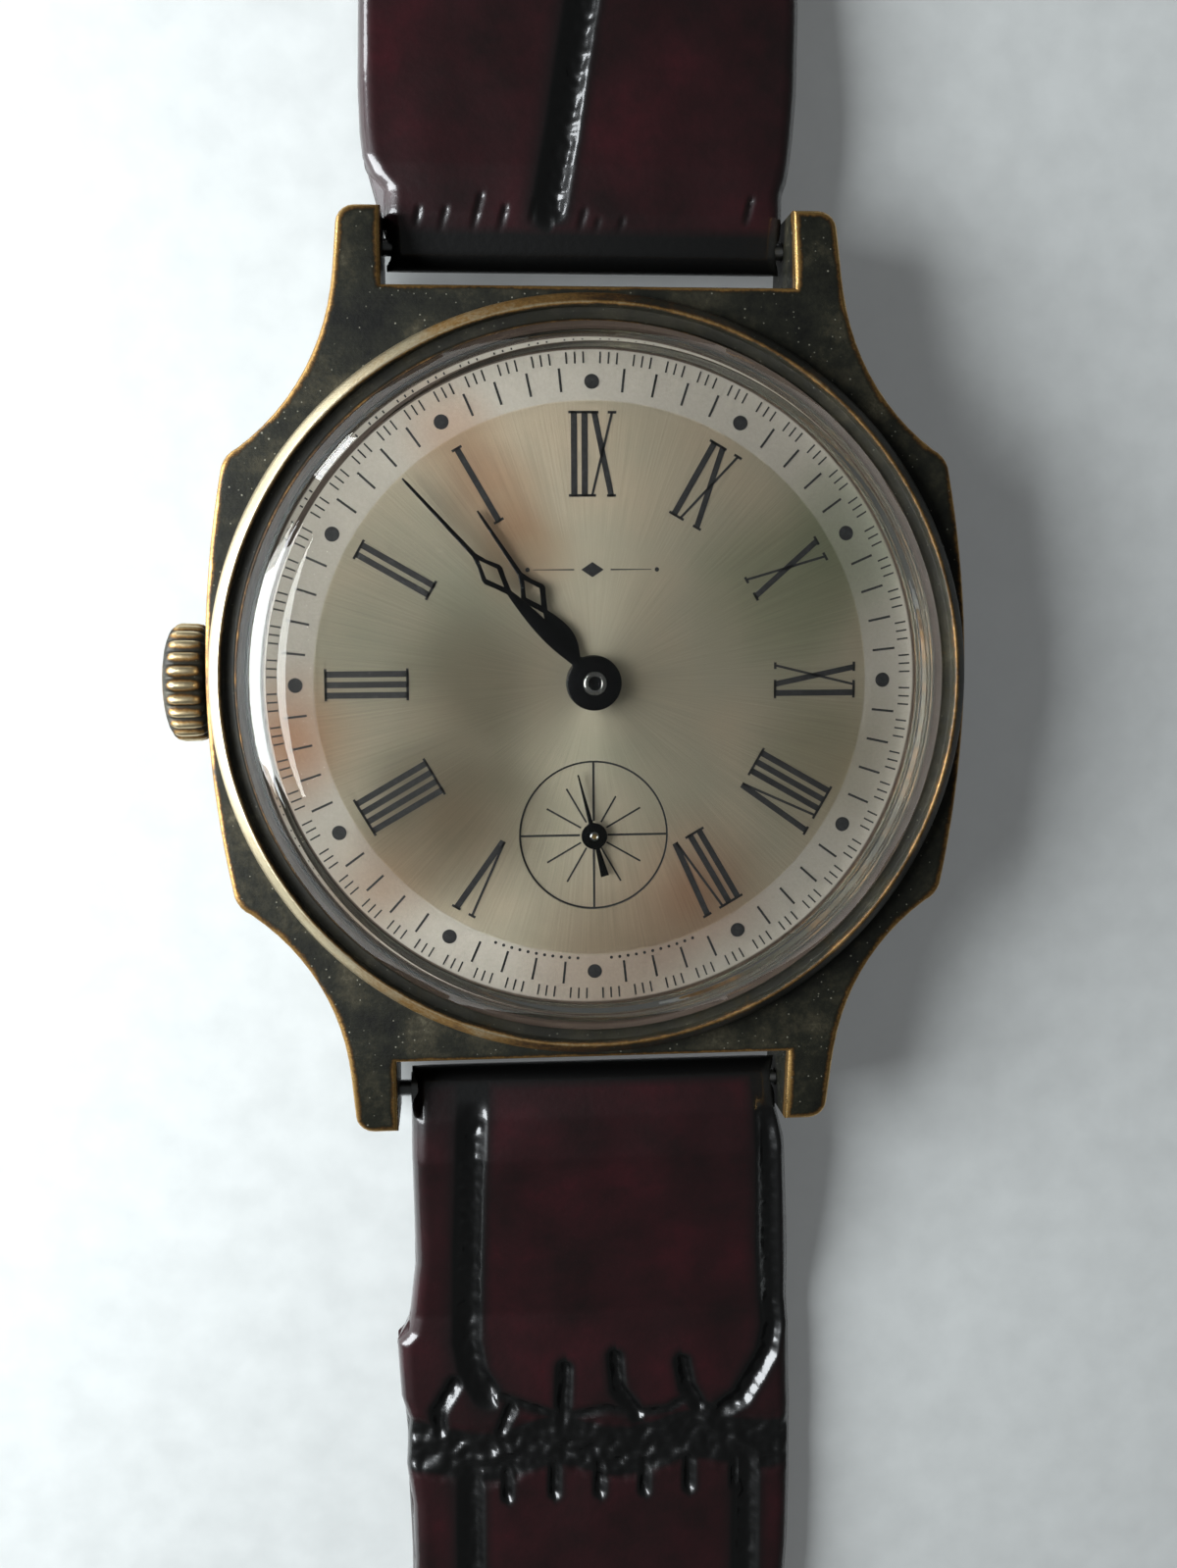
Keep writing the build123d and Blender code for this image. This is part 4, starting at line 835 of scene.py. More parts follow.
def numeral(ink, glyphs, turn):
    """Condensed numerals, tops outward. Each glyph is I, V or X, set from left to right."""
    wide = {"I": 0.42, "V": 1.02, "X": 1.06}
    kern = 0.04 if len(glyphs) > 1 else 0.0
    total = sum(wide[g] for g in glyphs) + kern * (len(glyphs) - 1)
    low, high = GLYPH_LOW, GLYPH_HIGH
    at, spin = (0.0, 0.0), turn - math.pi / 2
    x = -total / 2
    for glyph in glyphs:
        w = wide[glyph]
        mid = x + w / 2
        if glyph == "I":
            ink.stroke(mid, low, mid, high, STEM_WIDE, at, spin)
            serifs = [(low, x - 0.03, x + w + 0.03), (high, x - 0.03, x + w + 0.03)]
        elif glyph == "X":
            ink.stroke(x + w - 0.14, low, x + 0.16, high, STEM_WIDE * 0.95, at, spin)
            ink.stroke(x + 0.06, low, x + w - 0.1, high, HAIR_WIDE, at, spin)
            serifs = [(low, x - 0.06, x + 0.24), (low, x + w - 0.34, x + w + 0.06)]
            serifs += [(high, x - 0.06, x + 0.36), (high, x + w - 0.3, x + w + 0.08)]
        else:
            ink.stroke(mid, low, x + w - 0.14, high, STEM_WIDE, at, spin)
            ink.stroke(mid - 0.06, low, x + 0.08, high, HAIR_WIDE, at, spin)
            serifs = [(high, x - 0.08, x + 0.26), (high, x + w - 0.34, x + w + 0.08)]
        for level, left, right in serifs:
            y0 = level if level == low else level - SERIF
            ink.shape([(left, y0), (right, y0), (right, y0 + SERIF), (left, y0 + SERIF)], at, spin)
        x += w + kern


def dial_print():
    """Hour dots, minute strokes, fine fifths, ten numerals, and a small lozenge line."""
    ink = Print(DIAL_Z)
    for minute in range(60):
        turn = math.radians(90 - 6 * minute)
        spin = turn - math.pi / 2
        if minute % 5 == 0:
            ink.dot(0.325, (13.0 * math.cos(turn), 13.0 * math.sin(turn)))
        else:
            ink.stroke(0, 12.6, 0, 13.62, 0.1, turn=spin)
        for part in (1.5, 3.0, 4.5):
            fifth = math.radians(90 - 6 * minute - part)
            ink.stroke(0, 13.78, 0, 14.28, 0.07, turn=fifth - math.pi / 2)
    hours = ["IIX", "IX", "X", "XI", "IIIV", "IIV", None, "V", "IIII", "III", "II", "I"]
    for hour, glyphs in enumerate(hours):
        if glyphs:
            numeral(ink, glyphs, math.radians(90 - 30 * hour))
    # a plain ornament above the hands and a row of fine dots below the seconds circle
    ink.shape([(-0.5, 4.95), (0, 4.62), (0.5, 4.95), (0, 5.28)])
    for side in (-1, 1):
        ink.shape([(side * 0.8, 4.92), (side * 2.6, 4.935), (side * 2.6, 4.965), (side * 0.8, 4.98)])
        ink.dot(0.1, (side * 2.85, 4.95), 12)
    for i in range(-12, 13):
        if abs(i) > 1:
            turn = math.radians(-90 + 1.75 * i)
            ink.dot(0.07, (12.4 * math.cos(turn), 12.4 * math.sin(turn)), 10)
    piece = finish_mesh("dial_printing", ink.bm, [INK], "case", sharp=30.0, merge=1e-7)
    return piece


def seconds_print():
    """A circle with a cross and eight short spokes."""
    ink = Print(SECONDS_DIAL_Z)
    at = (0.0, SECONDS_Y)
    ink.band(3.3, 0.085, at)
    for quarter in range(4):
        ink.stroke(0, 0.62, 0, 3.26, 0.095, at, math.radians(90 * quarter))
        for part in (30, 60):
            # one spoke is shorter than the others
            reach = 2.0 if quarter == 3 and part == 60 else 2.42
            ink.stroke(0, 0.66, 0, reach, 0.08, at, math.radians(90 * quarter + part))
    piece = finish_mesh("seconds_printing", ink.bm, [INK], "case", sharp=30.0, merge=1e-7)
    return piece


# ------------------------------------------------------------------ hands
def hand(name, node, body, half, z, thick, turn, centre, bore, window):
    """A hand cut from sheet. half lists (distance, half width) from tail to tip, and window is its open
    lozenge."""
    outline = half + [(x, -w) for x, w in reversed(half) if w > 0]
    bm, face = plate(outline, z + thick)
    thicken(bm, [face], thick)
    round_edges(
        bm, thick * 0.28, 2,
        lambda e: e.verts[0].co.z > z + thick - 1e-4 and e.verts[1].co.z > z + thick - 1e-4 and len(
            e.link_faces
        ) == 2,
    )
    piece = finish_mesh(name, bm, [BLACK_STEEL], None, sharp=30.0, merge=1e-5)
    cutters = [cylinder(bore, 1.0, (0, 0, z), segments=40)]
    if window:
        tool, lozenge = plate(window, z + 0.5)
        thicken(tool, [lozenge], 1.0)
        cutters.append(tool)
    cut(piece, cutters)
    piece.data.transform(
        Matrix.Translation((centre[0] * MM, centre[1] * MM, 0)) @ Matrix.Rotation(math.radians(turn), 4, "Z")
    )
    piece.data.shade_smooth()
    piece.data.set_sharp_from_angle(angle=math.radians(30))
    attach(piece, body)
    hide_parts(node)
    return piece


def pomme_half(hub, leaf_from, leaf_at, leaf_wide, leaf_to, loop_at, loop_reach, loop_wide, tip):
    """The half outline of a hand: round hub, leaf, lozenge and needle."""
    half = [(-hub, 0.0)]
    half += [(-hub * math.cos(math.radians(a)), hub * math.sin(math.radians(a))) for a in range(8, 169, 8)]
    half += [(leaf_from, 0.16)]
    for i in range(1, 12):
        t = i / 12
        swell = math.sin(math.pi * t) ** 0.9 * (1.25 - 0.5 * t)
        half.append((leaf_from + (leaf_to - leaf_from) * t, 0.13 + (leaf_wide / 2 - 0.1) * swell))
    half += [(leaf_to, 0.12), (loop_at - loop_reach, 0.12)]
    half += [
        (loop_at - loop_reach * 0.5, loop_wide * 0.31), (loop_at - loop_reach * 0.12, loop_wide * 0.49),
        (loop_at + loop_reach * 0.05, loop_wide * 0.49),
    ]
    half += [
        (loop_at + loop_reach * 0.55, loop_wide * 0.24), (loop_at + loop_reach, 0.11), (tip - 0.3, 0.065),
        (tip, 0.035),
    ]
    return half


def lozenge(at, reach, wide):
    return [(at - reach, 0.0), (at, -wide), (at + reach, 0.0), (at, wide)]


def hands():
    hour = pomme_half(1.22, 1.28, 2.5, 0.92, 3.75, 4.75, 0.98, 1.2, 9.0)
    hand(
        "hour_hand_black", "hour_hand", "hour_hand", hour, 6.42, 0.16, HOUR_ANGLE, (0, 0), 0.82,
        lozenge(4.75, 0.66, 0.36),
    )
    minute = pomme_half(1.2, 1.26, 3.4, 0.62, 5.4, 6.5, 1.1, 1.06, 12.0)
    hand(
        "minute_hand_black", "minute_hand", "minute_hand", minute, 6.84, 0.16, MINUTE_ANGLE, (0, 0), 0.52,
        lozenge(6.5, 0.78, 0.32),
    )
    seconds = [(-1.86, 0.185), (-1.2, 0.14), (-0.6, 0.1)]
    seconds += [
        (-0.58 * math.cos(math.radians(a)), 0.58 * math.sin(math.radians(a))) for a in range(20, 161, 10)
    ]
    seconds += [(0.6, 0.1), (2.83, 0.035)]
    hand(
        "seconds_hand_black", "seconds_hand", "seconds_hand", seconds, 6.4, 0.14, SECOND_ANGLE,
        (0, SECONDS_Y), 0.13, None,
    )


def pipe_end(name, body, y, bore, outer, z):
    """The polished end of a pipe that carries a hand, with a black disc set down in its bore as painted
    shade.
    """
    rim = [
        (bore, z - 0.16), (bore, z - 0.03), (bore + 0.03, z), (outer - 0.06, z), (outer - 0.02, z - 0.03),
        (outer, z - 0.1), (outer, z - 0.16),
    ]
    # painted shade: a black disc down in the bore
    painted_shade_in_bore = [
        (0.0, z - 0.25), (bore * 0.66, z - 0.27), (bore + 0.01, z - 0.24), (bore + 0.01, z - 0.3),
        (0.0, z - 0.3),
    ]
    for part, profile, made, slot in (
        ("rim", rim, POLISHED_STEEL, "steel"), ("bore", painted_shade_in_bore, BLACK_STEEL, "black_steel"),
    ):
        bm = turned(profile, 48, close=part == "rim")
        bmesh.ops.translate(bm, verts=bm.verts, vec=(0, y, 0))
        finish_mesh(f"{name}_{part}", bm, [made], body, sharp=50.0, merge=1e-5)


# ------------------------------------------------------------------ strap
STRAP_EDGES = {
    # distance from the hands' axis: reach to -X, reach to +X
    True: [
        (17.7, 8.8, 8.8), (21.5, 8.84, 8.84), (22.1, 9.4, 9.05), (22.9, 9.75, 9.2), (24.0, 9.86, 9.35),
        (26.0, 9.92, 9.55), (30.0, 9.85, 9.75), (40.0, 9.35, 9.35), (90.0, 8.0, 8.0),
    ],
    False: [
        (17.7, 8.35, 8.86), (20.4, 8.4, 8.88), (22.0, 8.42, 9.3), (25.6, 8.4, 9.62), (28.2, 8.4, 9.85),
        (31.2, 8.75, 10.0), (32.0, 8.9, 10.05), (32.5, 9.4, 10.1), (35.4, 9.25, 10.15), (36.6, 8.9, 10.2),
        (39.0, 9.05, 10.2), (41.0, 8.8, 10.2), (44.0, 8.75, 10.15), (54.0, 9.0, 9.5), (60.0, 9.1, 9.1),
        (131.0, 8.0, 8.0),
    ],
}

# Grooves of the embossing: the line, its width to each side, and its depth. Notches are short grooves.
TOP_GROOVES = [
    (
        [(1.3, 38.2), (0.7, 33.0), (0.21, 29.8), (-0.25, 27.2), (-0.82, 23.7), (-1.15, 22.0), (-1.4, 20.6)],
        0.55, 1.0, 0.42,
    ),
]
BOTTOM_GROOVES = [
    (
        [(-5.3, 17.7), (-5.45, 21.0), (-5.59, 24.9), (-5.81, 32.4), (-5.54, 34.0), (-4.89, 35.1)], 0.9, 0.55,
        0.42,
    ),
    (
        [(8.3, 17.7), (8.5, 21.9), (8.85, 27.5), (9.3, 32.2), (9.0, 33.7), (7.68, 36.0), (6.66, 36.7)], 0.7,
        0.5, 0.38,
    ),
    ([(-1.15, 34.0), (-1.25, 36.8)], 0.5, 0.36, 0.34),
    ([(1.35, 33.5), (1.51, 35.2), (2.43, 36.5)], 0.5, 0.36, 0.34),
    ([(4.71, 33.9), (4.96, 35.2), (5.56, 36.3)], 0.5, 0.36, 0.34),
    ([(-3.85, 36.0), (-4.34, 37.2)], 0.4, 0.34, 0.3),
    ([(-6.54, 34.6), (-7.38, 36.0), (-7.32, 37.1)], 0.5, 0.36, 0.34),
    (
        [
            (-4.89, 35.1), (-3.08, 35.9), (-1.25, 36.6), (0.92, 36.2), (2.43, 36.5), (3.95, 36.4),
            (4.8, 35.9), (6.66, 36.7),
        ],
        0.25, 0.35, 0.2,
    ),
]


def grooves_of(top_half):
    """The scales: long plates near the lugs, then shorter rows towards the end, each with notches."""
    grooves = list(TOP_GROOVES if top_half else BOTTOM_GROOVES)
    bands = []
    if top_half:
        for x, v, reach in [
            (-7.4, 20.3, 0.5), (-6.3, 20.1, 0.9), (-4.8, 20.5, 1.3), (-3.7, 20.2, 0.9), (-2.3, 20.6, 0.7),
            (-0.2, 20.2, 0.7), (0.45, 19.9, 0.5), (1.5, 19.9, 0.6), (5.7, 19.4, 0.5), (7.2, 20.7, 0.9),
        ]:
            grooves.append(
                ([(x - 0.14 * reach, v - reach / 2), (x + 0.14 * reach, v + reach / 2)], 0.16, 0.2, 0.13)
            )
        rows = [(38.2, 52.0), (54.0, 66.5), (68.5, 79.0), (81.0, 90.0)]
        last = 38.2
    else:
        rows = [
            (39.4, 53.2), (55.2, 67.5), (69.5, 80.5), (82.3, 92.0), (93.8, 102.5), (104.2, 112.0),
            (113.6, 121.0), (122.5, 131.0),
        ]
        last = 36.9
    for index, (start, end) in enumerate(rows):
        bands.append((last, start))
        last = end
        wobble = [noise.noise(Vector((index * 3.7 + k, 1.3 if top_half else 7.9, 0.0))) for k in range(14)]
        flip = 1 if index % 2 == (0 if not top_half else 1) else -1
        left, right = -5.9 * flip + wobble[0], 8.1 * flip + wobble[1] * 0.5
        shrink = np.interp(start, [30, 131], [1.0, 0.82])
        left, right = left * shrink, right * shrink
        for side_x in (left, right):
            grooves.append(
                (
                    [
                        (side_x, start - 0.2), (side_x + 0.25 * wobble[2], (start + end) / 2),
                        (side_x * 1.04, end - 1.0), (side_x * 0.88, end + 0.2),
                    ],
                    0.85 if not top_half else 0.55, 0.55 if not top_half else 0.85, 0.38,
                )
            )
        for k in range(6):
            x = min(left, right) + (abs(right - left)) * (k + 0.7 + 0.35 * wobble[3 + k]) / 6
            if abs(x) < 8.0:
                grooves.append(
                    (
                        [(x, start - 0.3), (x + 0.1 * wobble[8], start + 1.1 + 0.7 * abs(wobble[4 + k]))],
                        0.28, 0.4, 0.3,
                    )
                )
                grooves.append(
                    ([(x + 0.4 * wobble[5], end - 1.9 - wobble[6]), (x, end + 0.3)], 0.28, 0.45, 0.32)
                )
    return grooves, bands


def half_width(v, top_half, side):
    rows = STRAP_EDGES[top_half]
    return np.interp(v, [r[0] for r in rows], [r[1 if side < 0 else 2] for r in rows])


def strap_field(x, v, top_half):
    """The embossing at points (x, v): its height in millimetres, and a painted shade for each point, darkest
    deep in a groove or a sunk band.
    """
    points = np.column_stack([x, v])
    grooves, bands = grooves_of(top_half)
    dip = np.zeros(len(x))
    dark = np.zeros(len(x))
    for line, left, right, depth in grooves:
        lows, highs = np.min(line, axis=0) - 2.2, np.max(line, axis=0) + 2.2
        near = np.all((points > lows) & (points < highs), axis=1)
        if not near.any():
            continue
        gap, side = distance_to(points[near], line)
        width = np.where(side > 0, left, right)
        cutting = depth * np.clip(1 - (gap / width) ** 2, 0, 1) ** 1.5
        dip[near] = np.maximum(dip[near], cutting)
        # painted shade: each groove and its banks are darkened, more for a deeper groove
        dark[near] = np.maximum(dark[near], np.exp(-((gap / (width * 1.25)) ** 2)) * min(1.0, depth / 0.3))
    for low, high in bands:
        if high - low > 0.5:
            middle, reach = (low + high) / 2, (high - low) / 2
            along = (v - middle - 0.35 * np.sin(x * 0.9)) / (reach + 0.3)
            inside = np.clip(1 - along**2, 0, 1)
            crumple = np.array(
                [
                    noise.noise(
                        Vector((a * 0.9, b * 1.5, 3.0))
                    ) + 0.7 * noise.noise(Vector((a * 2.1, b * 2.6, 8.0))) for a, b in points[inside > 0]
                ]
            )
            dip[inside > 0] = np.maximum(
                dip[inside > 0], np.sqrt(inside[inside > 0]) * (0.17 + 0.22 * crumple),
            )
            # painted shade: the crumpled bands between the rows of scales are darkened too
            dark = np.maximum(dark, np.clip(inside * 1.4, 0, 1) * 0.95)
    return -dip, dark


def strap_piece(name, top_half, v_from, v_to, step_mm, materials=(PATENT, EDGE, LINING)):
    """One run of the strap, rolled from a fine grid round its cross-section, then embossed."""
    sign = 1 if top_half else -1
    stations = []
    if v_from < BAR_Y:
        stations += [
            BAR_Y - STRAP_NOSE_R * math.sin(math.radians(a)) for a in (88, 82, 74, 64, 53, 41, 28, 14)
        ]
        v_start = BAR_Y
    else:
        v_start = v_from
    fine_to = 31.5 if top_half else 44.5
    v = v_start
    while v < v_to - 1e-6:
        stations.append(v)
        v += step_mm if v < fine_to else step_mm * 2
    stations.append(v_to)
    across, around = (160 if v_from < BAR_Y else 90), 20
    ring = across + around
    bm = bmesh.new()
    bmesh.ops.create_grid(bm, x_segments=ring, y_segments=len(stations) - 1, size=1.0)
    mesh = to_mesh(name, bm)
    flat = np.empty(len(mesh.vertices) * 3, np.float32)
    mesh.vertices.foreach_get("co", flat)
    grid = flat.reshape(-1, 3)
    column = np.rint((grid[:, 0] + 1) / 2 * ring).astype(int)
    row = np.rint((grid[:, 1] + 1) / 2 * (len(stations) - 1)).astype(int)
    v = np.array(stations)[row]
    on_top = column <= across
    u = np.where(on_top, -1 + 2 * column / across, 1 - 2 * (column - across) / around)
    # the height of the leather's upper and lower faces
    rest = 3.2 if top_half else 2.2
    z_high = np.interp(
        v, [BAR_Y, 20.4, 22.5, 26.5, 31.0],
        [BAR_Z + STRAP_NOSE_R, BAR_Z + 1.4, BAR_Z + 1.38, (BAR_Z + 1.38 + rest) / 2 + 0.12, rest],
    )
    z_low = np.interp(v, [BAR_Y, 28.0], [BAR_Z - STRAP_NOSE_R, rest - STRAP_THICK])
    nose = v < BAR_Y
    swell = np.sqrt(np.clip(STRAP_NOSE_R**2 - (BAR_Y - v) ** 2, 0.0004, None))
    z_high = np.where(nose, BAR_Z + swell, z_high)
    z_low = np.where(nose, BAR_Z - swell, z_low)
    thick = z_high - z_low
    reach = np.where(u < 0, half_width(v, top_half, -1), half_width(v, top_half, 1))
    corner = np.minimum(0.75, thick * 0.48)
    # the top face rounds over at its edges, the lower one less
    edge = np.clip((np.abs(u) * reach - (reach - corner)) / corner, 0, 1)
    x = u * reach
    drop = corner * (1 - np.sqrt(np.clip(1 - edge**2, 0, 1)))
    full = np.clip((thick - 0.6) / 1.2, 0, 1)
    z = np.where(on_top, z_high - drop - 0.12 * full * u**2, z_low + drop * 0.55)
    tip = np.clip((v - (TIP_Y - 9.0)) / 9.0, 0, 1) if not top_half else np.zeros_like(v)
    x = x * np.sqrt(np.clip(1 - tip**2.2, 0.0005, 1))
    height, dark = strap_field(x, v, top_half)
    emboss = np.where(on_top, 1.0, 0.0) * np.clip((v - 19.6) / 1.2, 0, 1) * (1 - 0.7 * edge)
    pillow = np.array(
        [noise.noise(Vector((a * 0.35, b * 0.3, 9.0 if top_half else 4.0))) for a, b in zip(x, v)]
    )
    beads = np.array([noise.noise(Vector((a * 2.6, b * 2.6, 2.0))) for a, b in zip(x, v)])
    z = z + emboss * (height + 0.07 * pillow + 0.1 * beads * np.minimum(-height, 0.3) / 0.3)
    final = np.column_stack([x, v * sign, z]).astype(np.float32) * MM
    mesh.vertices.foreach_set("co", final.ravel())
    mesh.update()
    bm = bmesh.new()
    bm.from_mesh(mesh)
    bpy.data.meshes.remove(mesh)
    for face in bm.faces:
        centre = face.calc_center_median() / MM
        side = abs(face.normal.x) > 0.75 or abs(face.normal.z) < 0.35
        face.material_index = 1 if side else (
            2 if centre.z < float(
                np.interp(abs(centre.y), [BAR_Y, 28.0, 31.0], [BAR_Z, rest - 1.1, rest - 1.1])
            ) else 0
        )
    bmesh.ops.remove_doubles(bm, verts=bm.verts, dist=2e-6)
    bmesh.ops.holes_fill(bm, edges=[e for e in bm.edges if e.is_boundary], sides=0)
    bmesh.ops.recalc_face_normals(bm, faces=bm.faces)
    piece = make_piece(name, to_mesh(name, bm), materials, None, sharp=55.0)
    cutters = []
    if v_from < BAR_Y:
        cutters.append(cylinder(0.78, 24, (0, sign * BAR_Y, BAR_Z), "X", 32))
    if not top_half:
        for k in range(7):
            if v_from < 80 + 6.5 * k < v_to:
                cutters.append(cylinder(0.9, 8, (0, -(80 + 6.5 * k), 1.1), "Z", 28))
    if top_half and v_to >= BUCKLE_Y:
        cutters.append(cylinder(0.66, 24, (0, BUCKLE_Y, 2.1), "X", 32))
        slot_cut = bmesh.new()
        bmesh.ops.create_cube(
            slot_cut, size=1.0,
            matrix=Matrix.Translation((0, BUCKLE_Y, 2)) @ Matrix.Diagonal((2.6, 6.4, 8, 1)),
        )
        cutters.append(slot_cut)
    if cutters:
        cut(piece, cutters)
        piece.data.shade_smooth()
        piece.data.set_sharp_from_angle(angle=math.radians(55))
    co = places(piece)
    _, dark = strap_field(co[:, 0], np.abs(co[:, 1]), top_half)
    # painted shade: where the leather bends over the spring bar and faces the case, it is darkened too
    fold_y = 20.1 if top_half else 19.3
    fold = np.clip((fold_y - np.abs(co[:, 1])) / 0.9, 0, 1)
    paint(piece, "valley", np.maximum(dark, fold * 0.9))
    return piece


def strap():
    first = strap_piece("strap_top_near", True, 17.7, 51.0, 0.13)
    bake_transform(first)
    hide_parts("strap_top_1")
    last = strap_piece("strap_top_far", True, 51.0, 91.3, 0.2)
    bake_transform(last)
    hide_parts("strap_top_2", "strap_top_3")
    near = strap_piece("strap_bottom_near", False, 17.7, 54.0, 0.16)
    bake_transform(near)
    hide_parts("strap_bottom_1")
    middle = strap_piece("strap_bottom_middle", False, 54.0, 78.0, 0.2)
    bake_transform(middle)
    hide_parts("strap_bottom_2", "strap_bottom_3")
    far = strap_piece("strap_bottom_far", False, 78.0, 131.0, 0.2)
    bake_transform(far)
    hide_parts("strap_bottom_4")


def keeper(name, node, body, y):
    """A folded leather loop with rounded corners."""
    bm = bmesh.new()
    half, wide, high, wall = 8.95 + 0.8, 3.4, 6.2, 0.8
    bmesh.ops.create_cube(
        bm, size=1.0,
        matrix=Matrix.Translation((0, y + wide / 2, high / 2)) @ Matrix.Diagonal((2 * half, wide, high, 1)),
    )
    round_edges(bm, 1.1, 6, lambda e: abs(e.verts[0].co.y - e.verts[1].co.y) > 1)
    ends = [f for f in bm.faces if abs(f.normal.y) > 0.9]
    bmesh.ops.inset_individual(bm, faces=ends, thickness=wall)
    bmesh.ops.bridge_loops(bm, edges=[e for f in ends for e in f.edges])
    bmesh.ops.delete(bm, geom=ends, context="FACES_ONLY")
    bmesh.ops.recalc_face_normals(bm, faces=bm.faces)
    round_edges(bm, 0.22, 3, lambda e: corner_angle(e) > 70)
    piece = finish_mesh(name, bm, [PATENT], body, sharp=45.0, merge=1e-5)
    co = places(piece)
    rim = np.clip((np.abs(co[:, 1] - y - wide / 2) - 1.2) / 0.4, 0, 1)
    paint(piece, "valley", rim * 0.8)
    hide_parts(node)
    return piece


def buckle():
    """A cast frame with rounded arms and a heavier front rail."""
    outline = [
        (-10.0, 88.8), (-10.0, 101.2), (10.0, 101.2), (10.0, 88.8), (8.35, 88.8), (8.35, 99.2), (-8.35, 99.2),
        (-8.35, 88.8),
    ]
    bm, face = plate(outline, 3.0)
    corners = [v for v in bm.verts if v.co.y > 95]
    for vert in corners:
        wide = 2.6 if abs(vert.co.x) > 9 else 1.2
        bmesh.ops.bevel(
            bm, geom=[vert], offset=wide, offset_type="OFFSET", affect="VERTICES", segments=8, profile=0.5,
            material=-1,
        )
    thicken(bm, bm.faces[:], 1.8)
    round_edges(bm, 0.55, 4, lambda e: corner_angle(e) > 60)
    piece = finish_mesh("buckle_frame_cast", bm, [BUCKLE_BRASS], "buckle", sharp=40.0, merge=1e-5)
    cut(piece, [cylinder(0.62, 18.9, (0, BUCKLE_Y, 2.1), "X", 32)])
    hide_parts("buckle_frame")


def tang():
    """A tongue bent from wire: a loop round the bar, a hump, and a blunt end on the rail."""
    bm = bmesh.new()
    stations = [
        (91.0, 2.35, 0.42), (92.6, 3.0, 0.46), (95.0, 3.55, 0.48), (97.4, 3.95, 0.48), (99.2, 4.05, 0.46),
        (100.6, 3.98, 0.42), (101.3, 3.85, 0.3),
    ]
    rows = tube_rows(bm, 20, len(stations))
    for (y, z, r), row in zip(stations, rows):
        for vert in row:
            turn = math.atan2(vert.co.y, vert.co.x)
            vert.co = (1.3 * r * math.cos(turn), y, z + r * math.sin(turn))
    bmesh.ops.holes_fill(bm, edges=[e for e in bm.edges if e.is_boundary], sides=0)
    sheath = cylinder(1.02, 2.2, (0, BUCKLE_Y, 2.1), "X", 40)
    round_edges(sheath, 0.2, 3, lambda e: corner_angle(e) > 60)
    join(bm, sheath)
    piece = finish_mesh("buckle_tongue", bm, [BUCKLE_BRASS], "buckle_tang", sharp=45.0, merge=1e-5)
    cut(piece, [cylinder(0.65, 6, (0, BUCKLE_Y, 2.1), "X", 32)])
    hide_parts("buckle_tang")


# ------------------------------------------------------------------ the object
case_middle()
bezel()
crystal()
case_back()
crown()
dial_print()
seconds_print()
hands()
pipe_end("cannon_end", "minute_hand", 0.0, 0.3, 0.49, 7.2)
pipe_end("seconds_end", "seconds_hand", SECONDS_Y, 0.1, 0.22, 6.62)
strap()
keeper("keeper_fixed", "fixed_keeper", "strap_top_3", 82.5)
keeper("keeper_free", "free_keeper", "free_keeper", 74.0)
buckle()
tang()

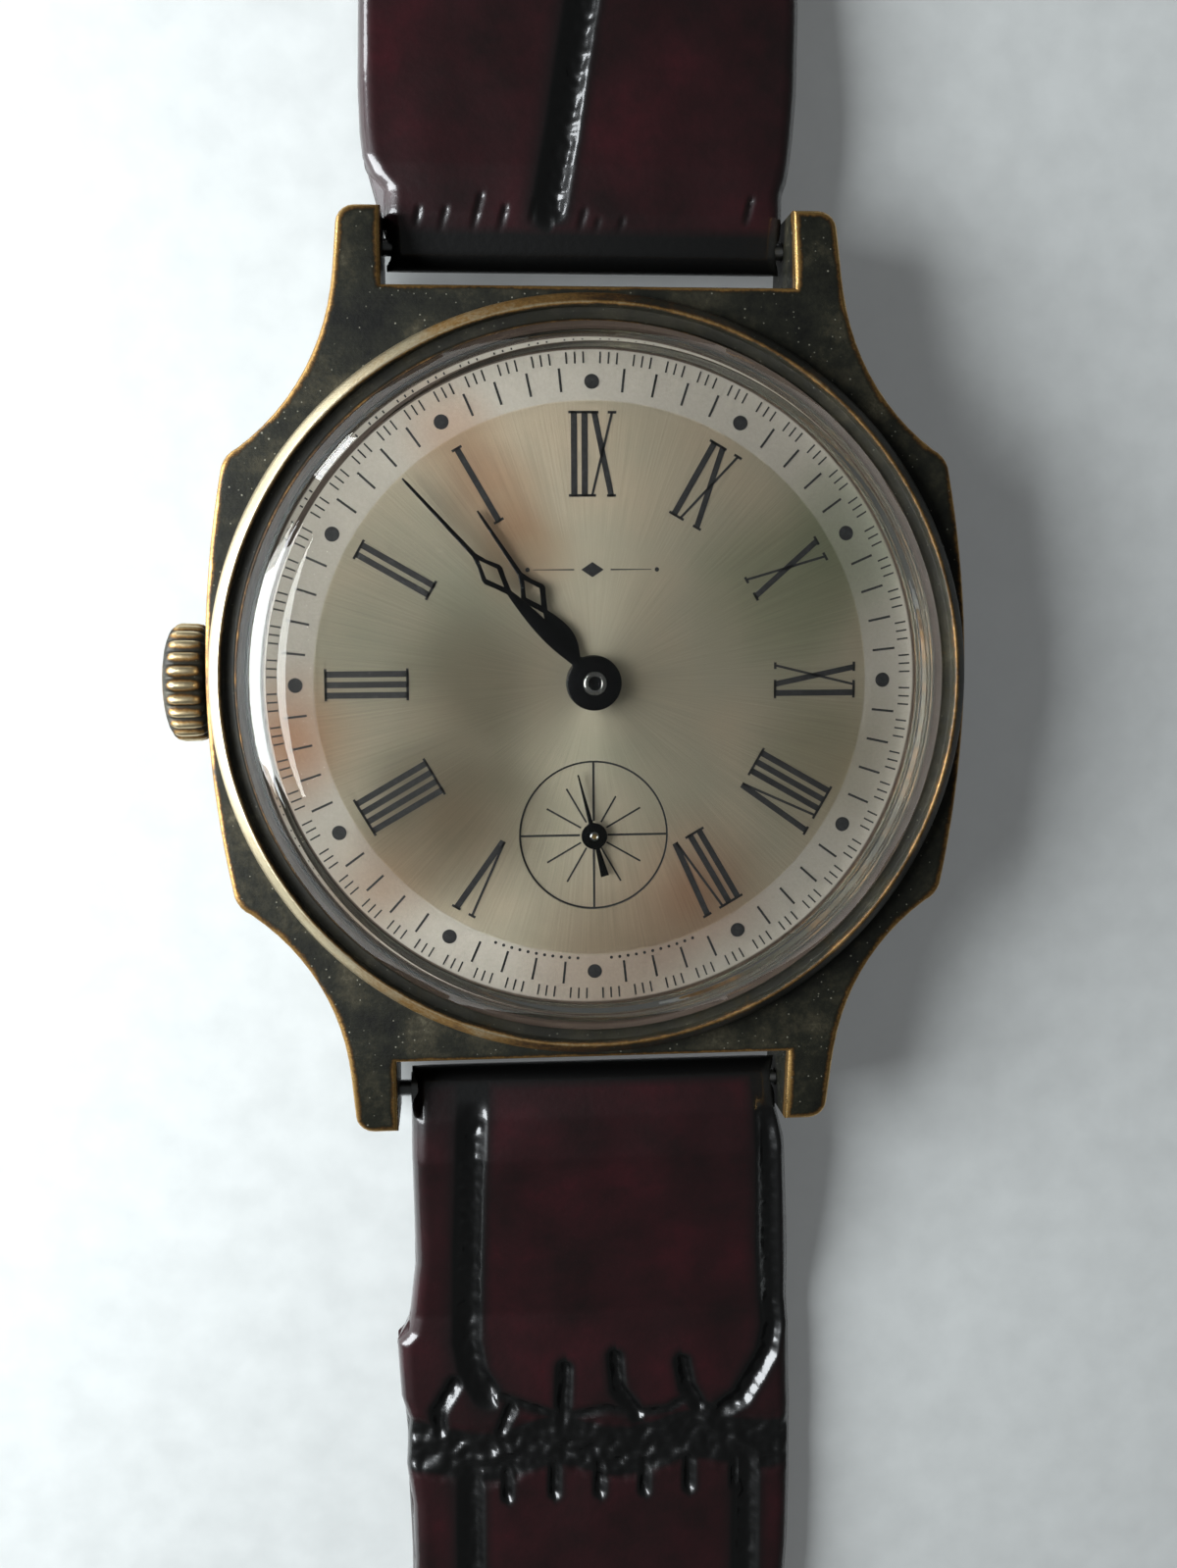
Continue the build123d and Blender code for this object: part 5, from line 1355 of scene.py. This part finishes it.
dress(["crown_tube"], BEZEL_BRASS)
dress(["dial"], DIAL_SILVER)
dress(
    [
        "movement_ring", "barrel_drum", "barrel_cover", "centre_wheel", "third_wheel", "fourth_wheel",
        "balance_wheel", "minute_wheel", "hour_wheel",
    ],
    GILT,
)
dress(
    ["main_plate", "barrel_bridge", "train_bridge", "pallet_bridge", "balance_cock"], PLATED,
)
dress(
    [
        "movement_screws", "barrel_arbor", "click", "escape_wheel", "pallet_fork", "regulator",
        "cannon_pinion", "stem", "winding_pinion", "clutch_pinion", "mainspring", "hairspring",
        "click_spring",
    ],
    POLISHED_STEEL,
)
dress(
    [
        "ratchet_wheel", "crown_wheel", "setting_lever", "yoke", "setting_bridge", "spring_bars",
        "bar_tip_12_left", "bar_tip_12_right", "bar_tip_6_left", "bar_tip_6_right",
    ],
    BRUSHED_STEEL,
)
dress(["jewels"], RUBY)
dress(["buckle_bar"], BUCKLE_BRASS)

# ------------------------------------------------------------------ floor, light and camera
floor_bm = bmesh.new()
bmesh.ops.create_grid(
    floor_bm, x_segments=1, y_segments=1, size=1500.0, matrix=Matrix.Translation((0, 0, -0.02)),
)
floor = finish_mesh("floor", floor_bm, [painted_floor()], None)


def lamp(name, size, power, at, aim, colour="#ffffff"):
    """A soft rectangular lamp. Places are in millimetres."""
    data = bpy.data.lights.new(name, "AREA")
    data.shape = "RECTANGLE"
    data.size, data.size_y = size[0] * MM, size[1] * MM
    data.energy = power
    data.color = linear(colour)[:3]
    made = bpy.data.objects.new(name, data)
    bpy.context.scene.collection.objects.link(made)
    made.location = Vector(at) * MM
    made.rotation_euler = (Vector(aim) - Vector(at)).to_track_quat("-Z", "Y").to_euler()
    return made


lamp("window", (84, 120), 0.44, (-108, 2, 58), (-8, 0, 0), "#f6fbff")
lamp("window_side", (22, 40), 0.035, (-92, 84, 30), (0, 26, 4), "#f6fbff")

world = bpy.data.worlds.new("room_air")
bpy.context.scene.world = world
world.use_nodes = True
air = world.node_tree.nodes["Background"]
air.inputs["Color"].default_value = linear("#b9bdbd")
air.inputs["Strength"].default_value = 0.13

camera_data = bpy.data.cameras.new("camera")
camera_data.sensor_width = 36.0
camera_data.lens = LENS_MM
camera_data.clip_start, camera_data.clip_end = 0.002, 10.0
camera = bpy.data.objects.new("camera", camera_data)
bpy.context.scene.collection.objects.link(camera)
tilt = [Matrix.Rotation(math.radians(a), 3, axis) for a, axis in CAMERA_TILT]
look = (tilt[0] @ tilt[1] @ tilt[2]).transposed()
camera.matrix_world = Matrix.Translation(Vector(CAMERA_PLACE) * MM) @ look.to_4x4()
bpy.context.scene.camera = camera
bpy.context.scene.view_settings.view_transform = "Standard"
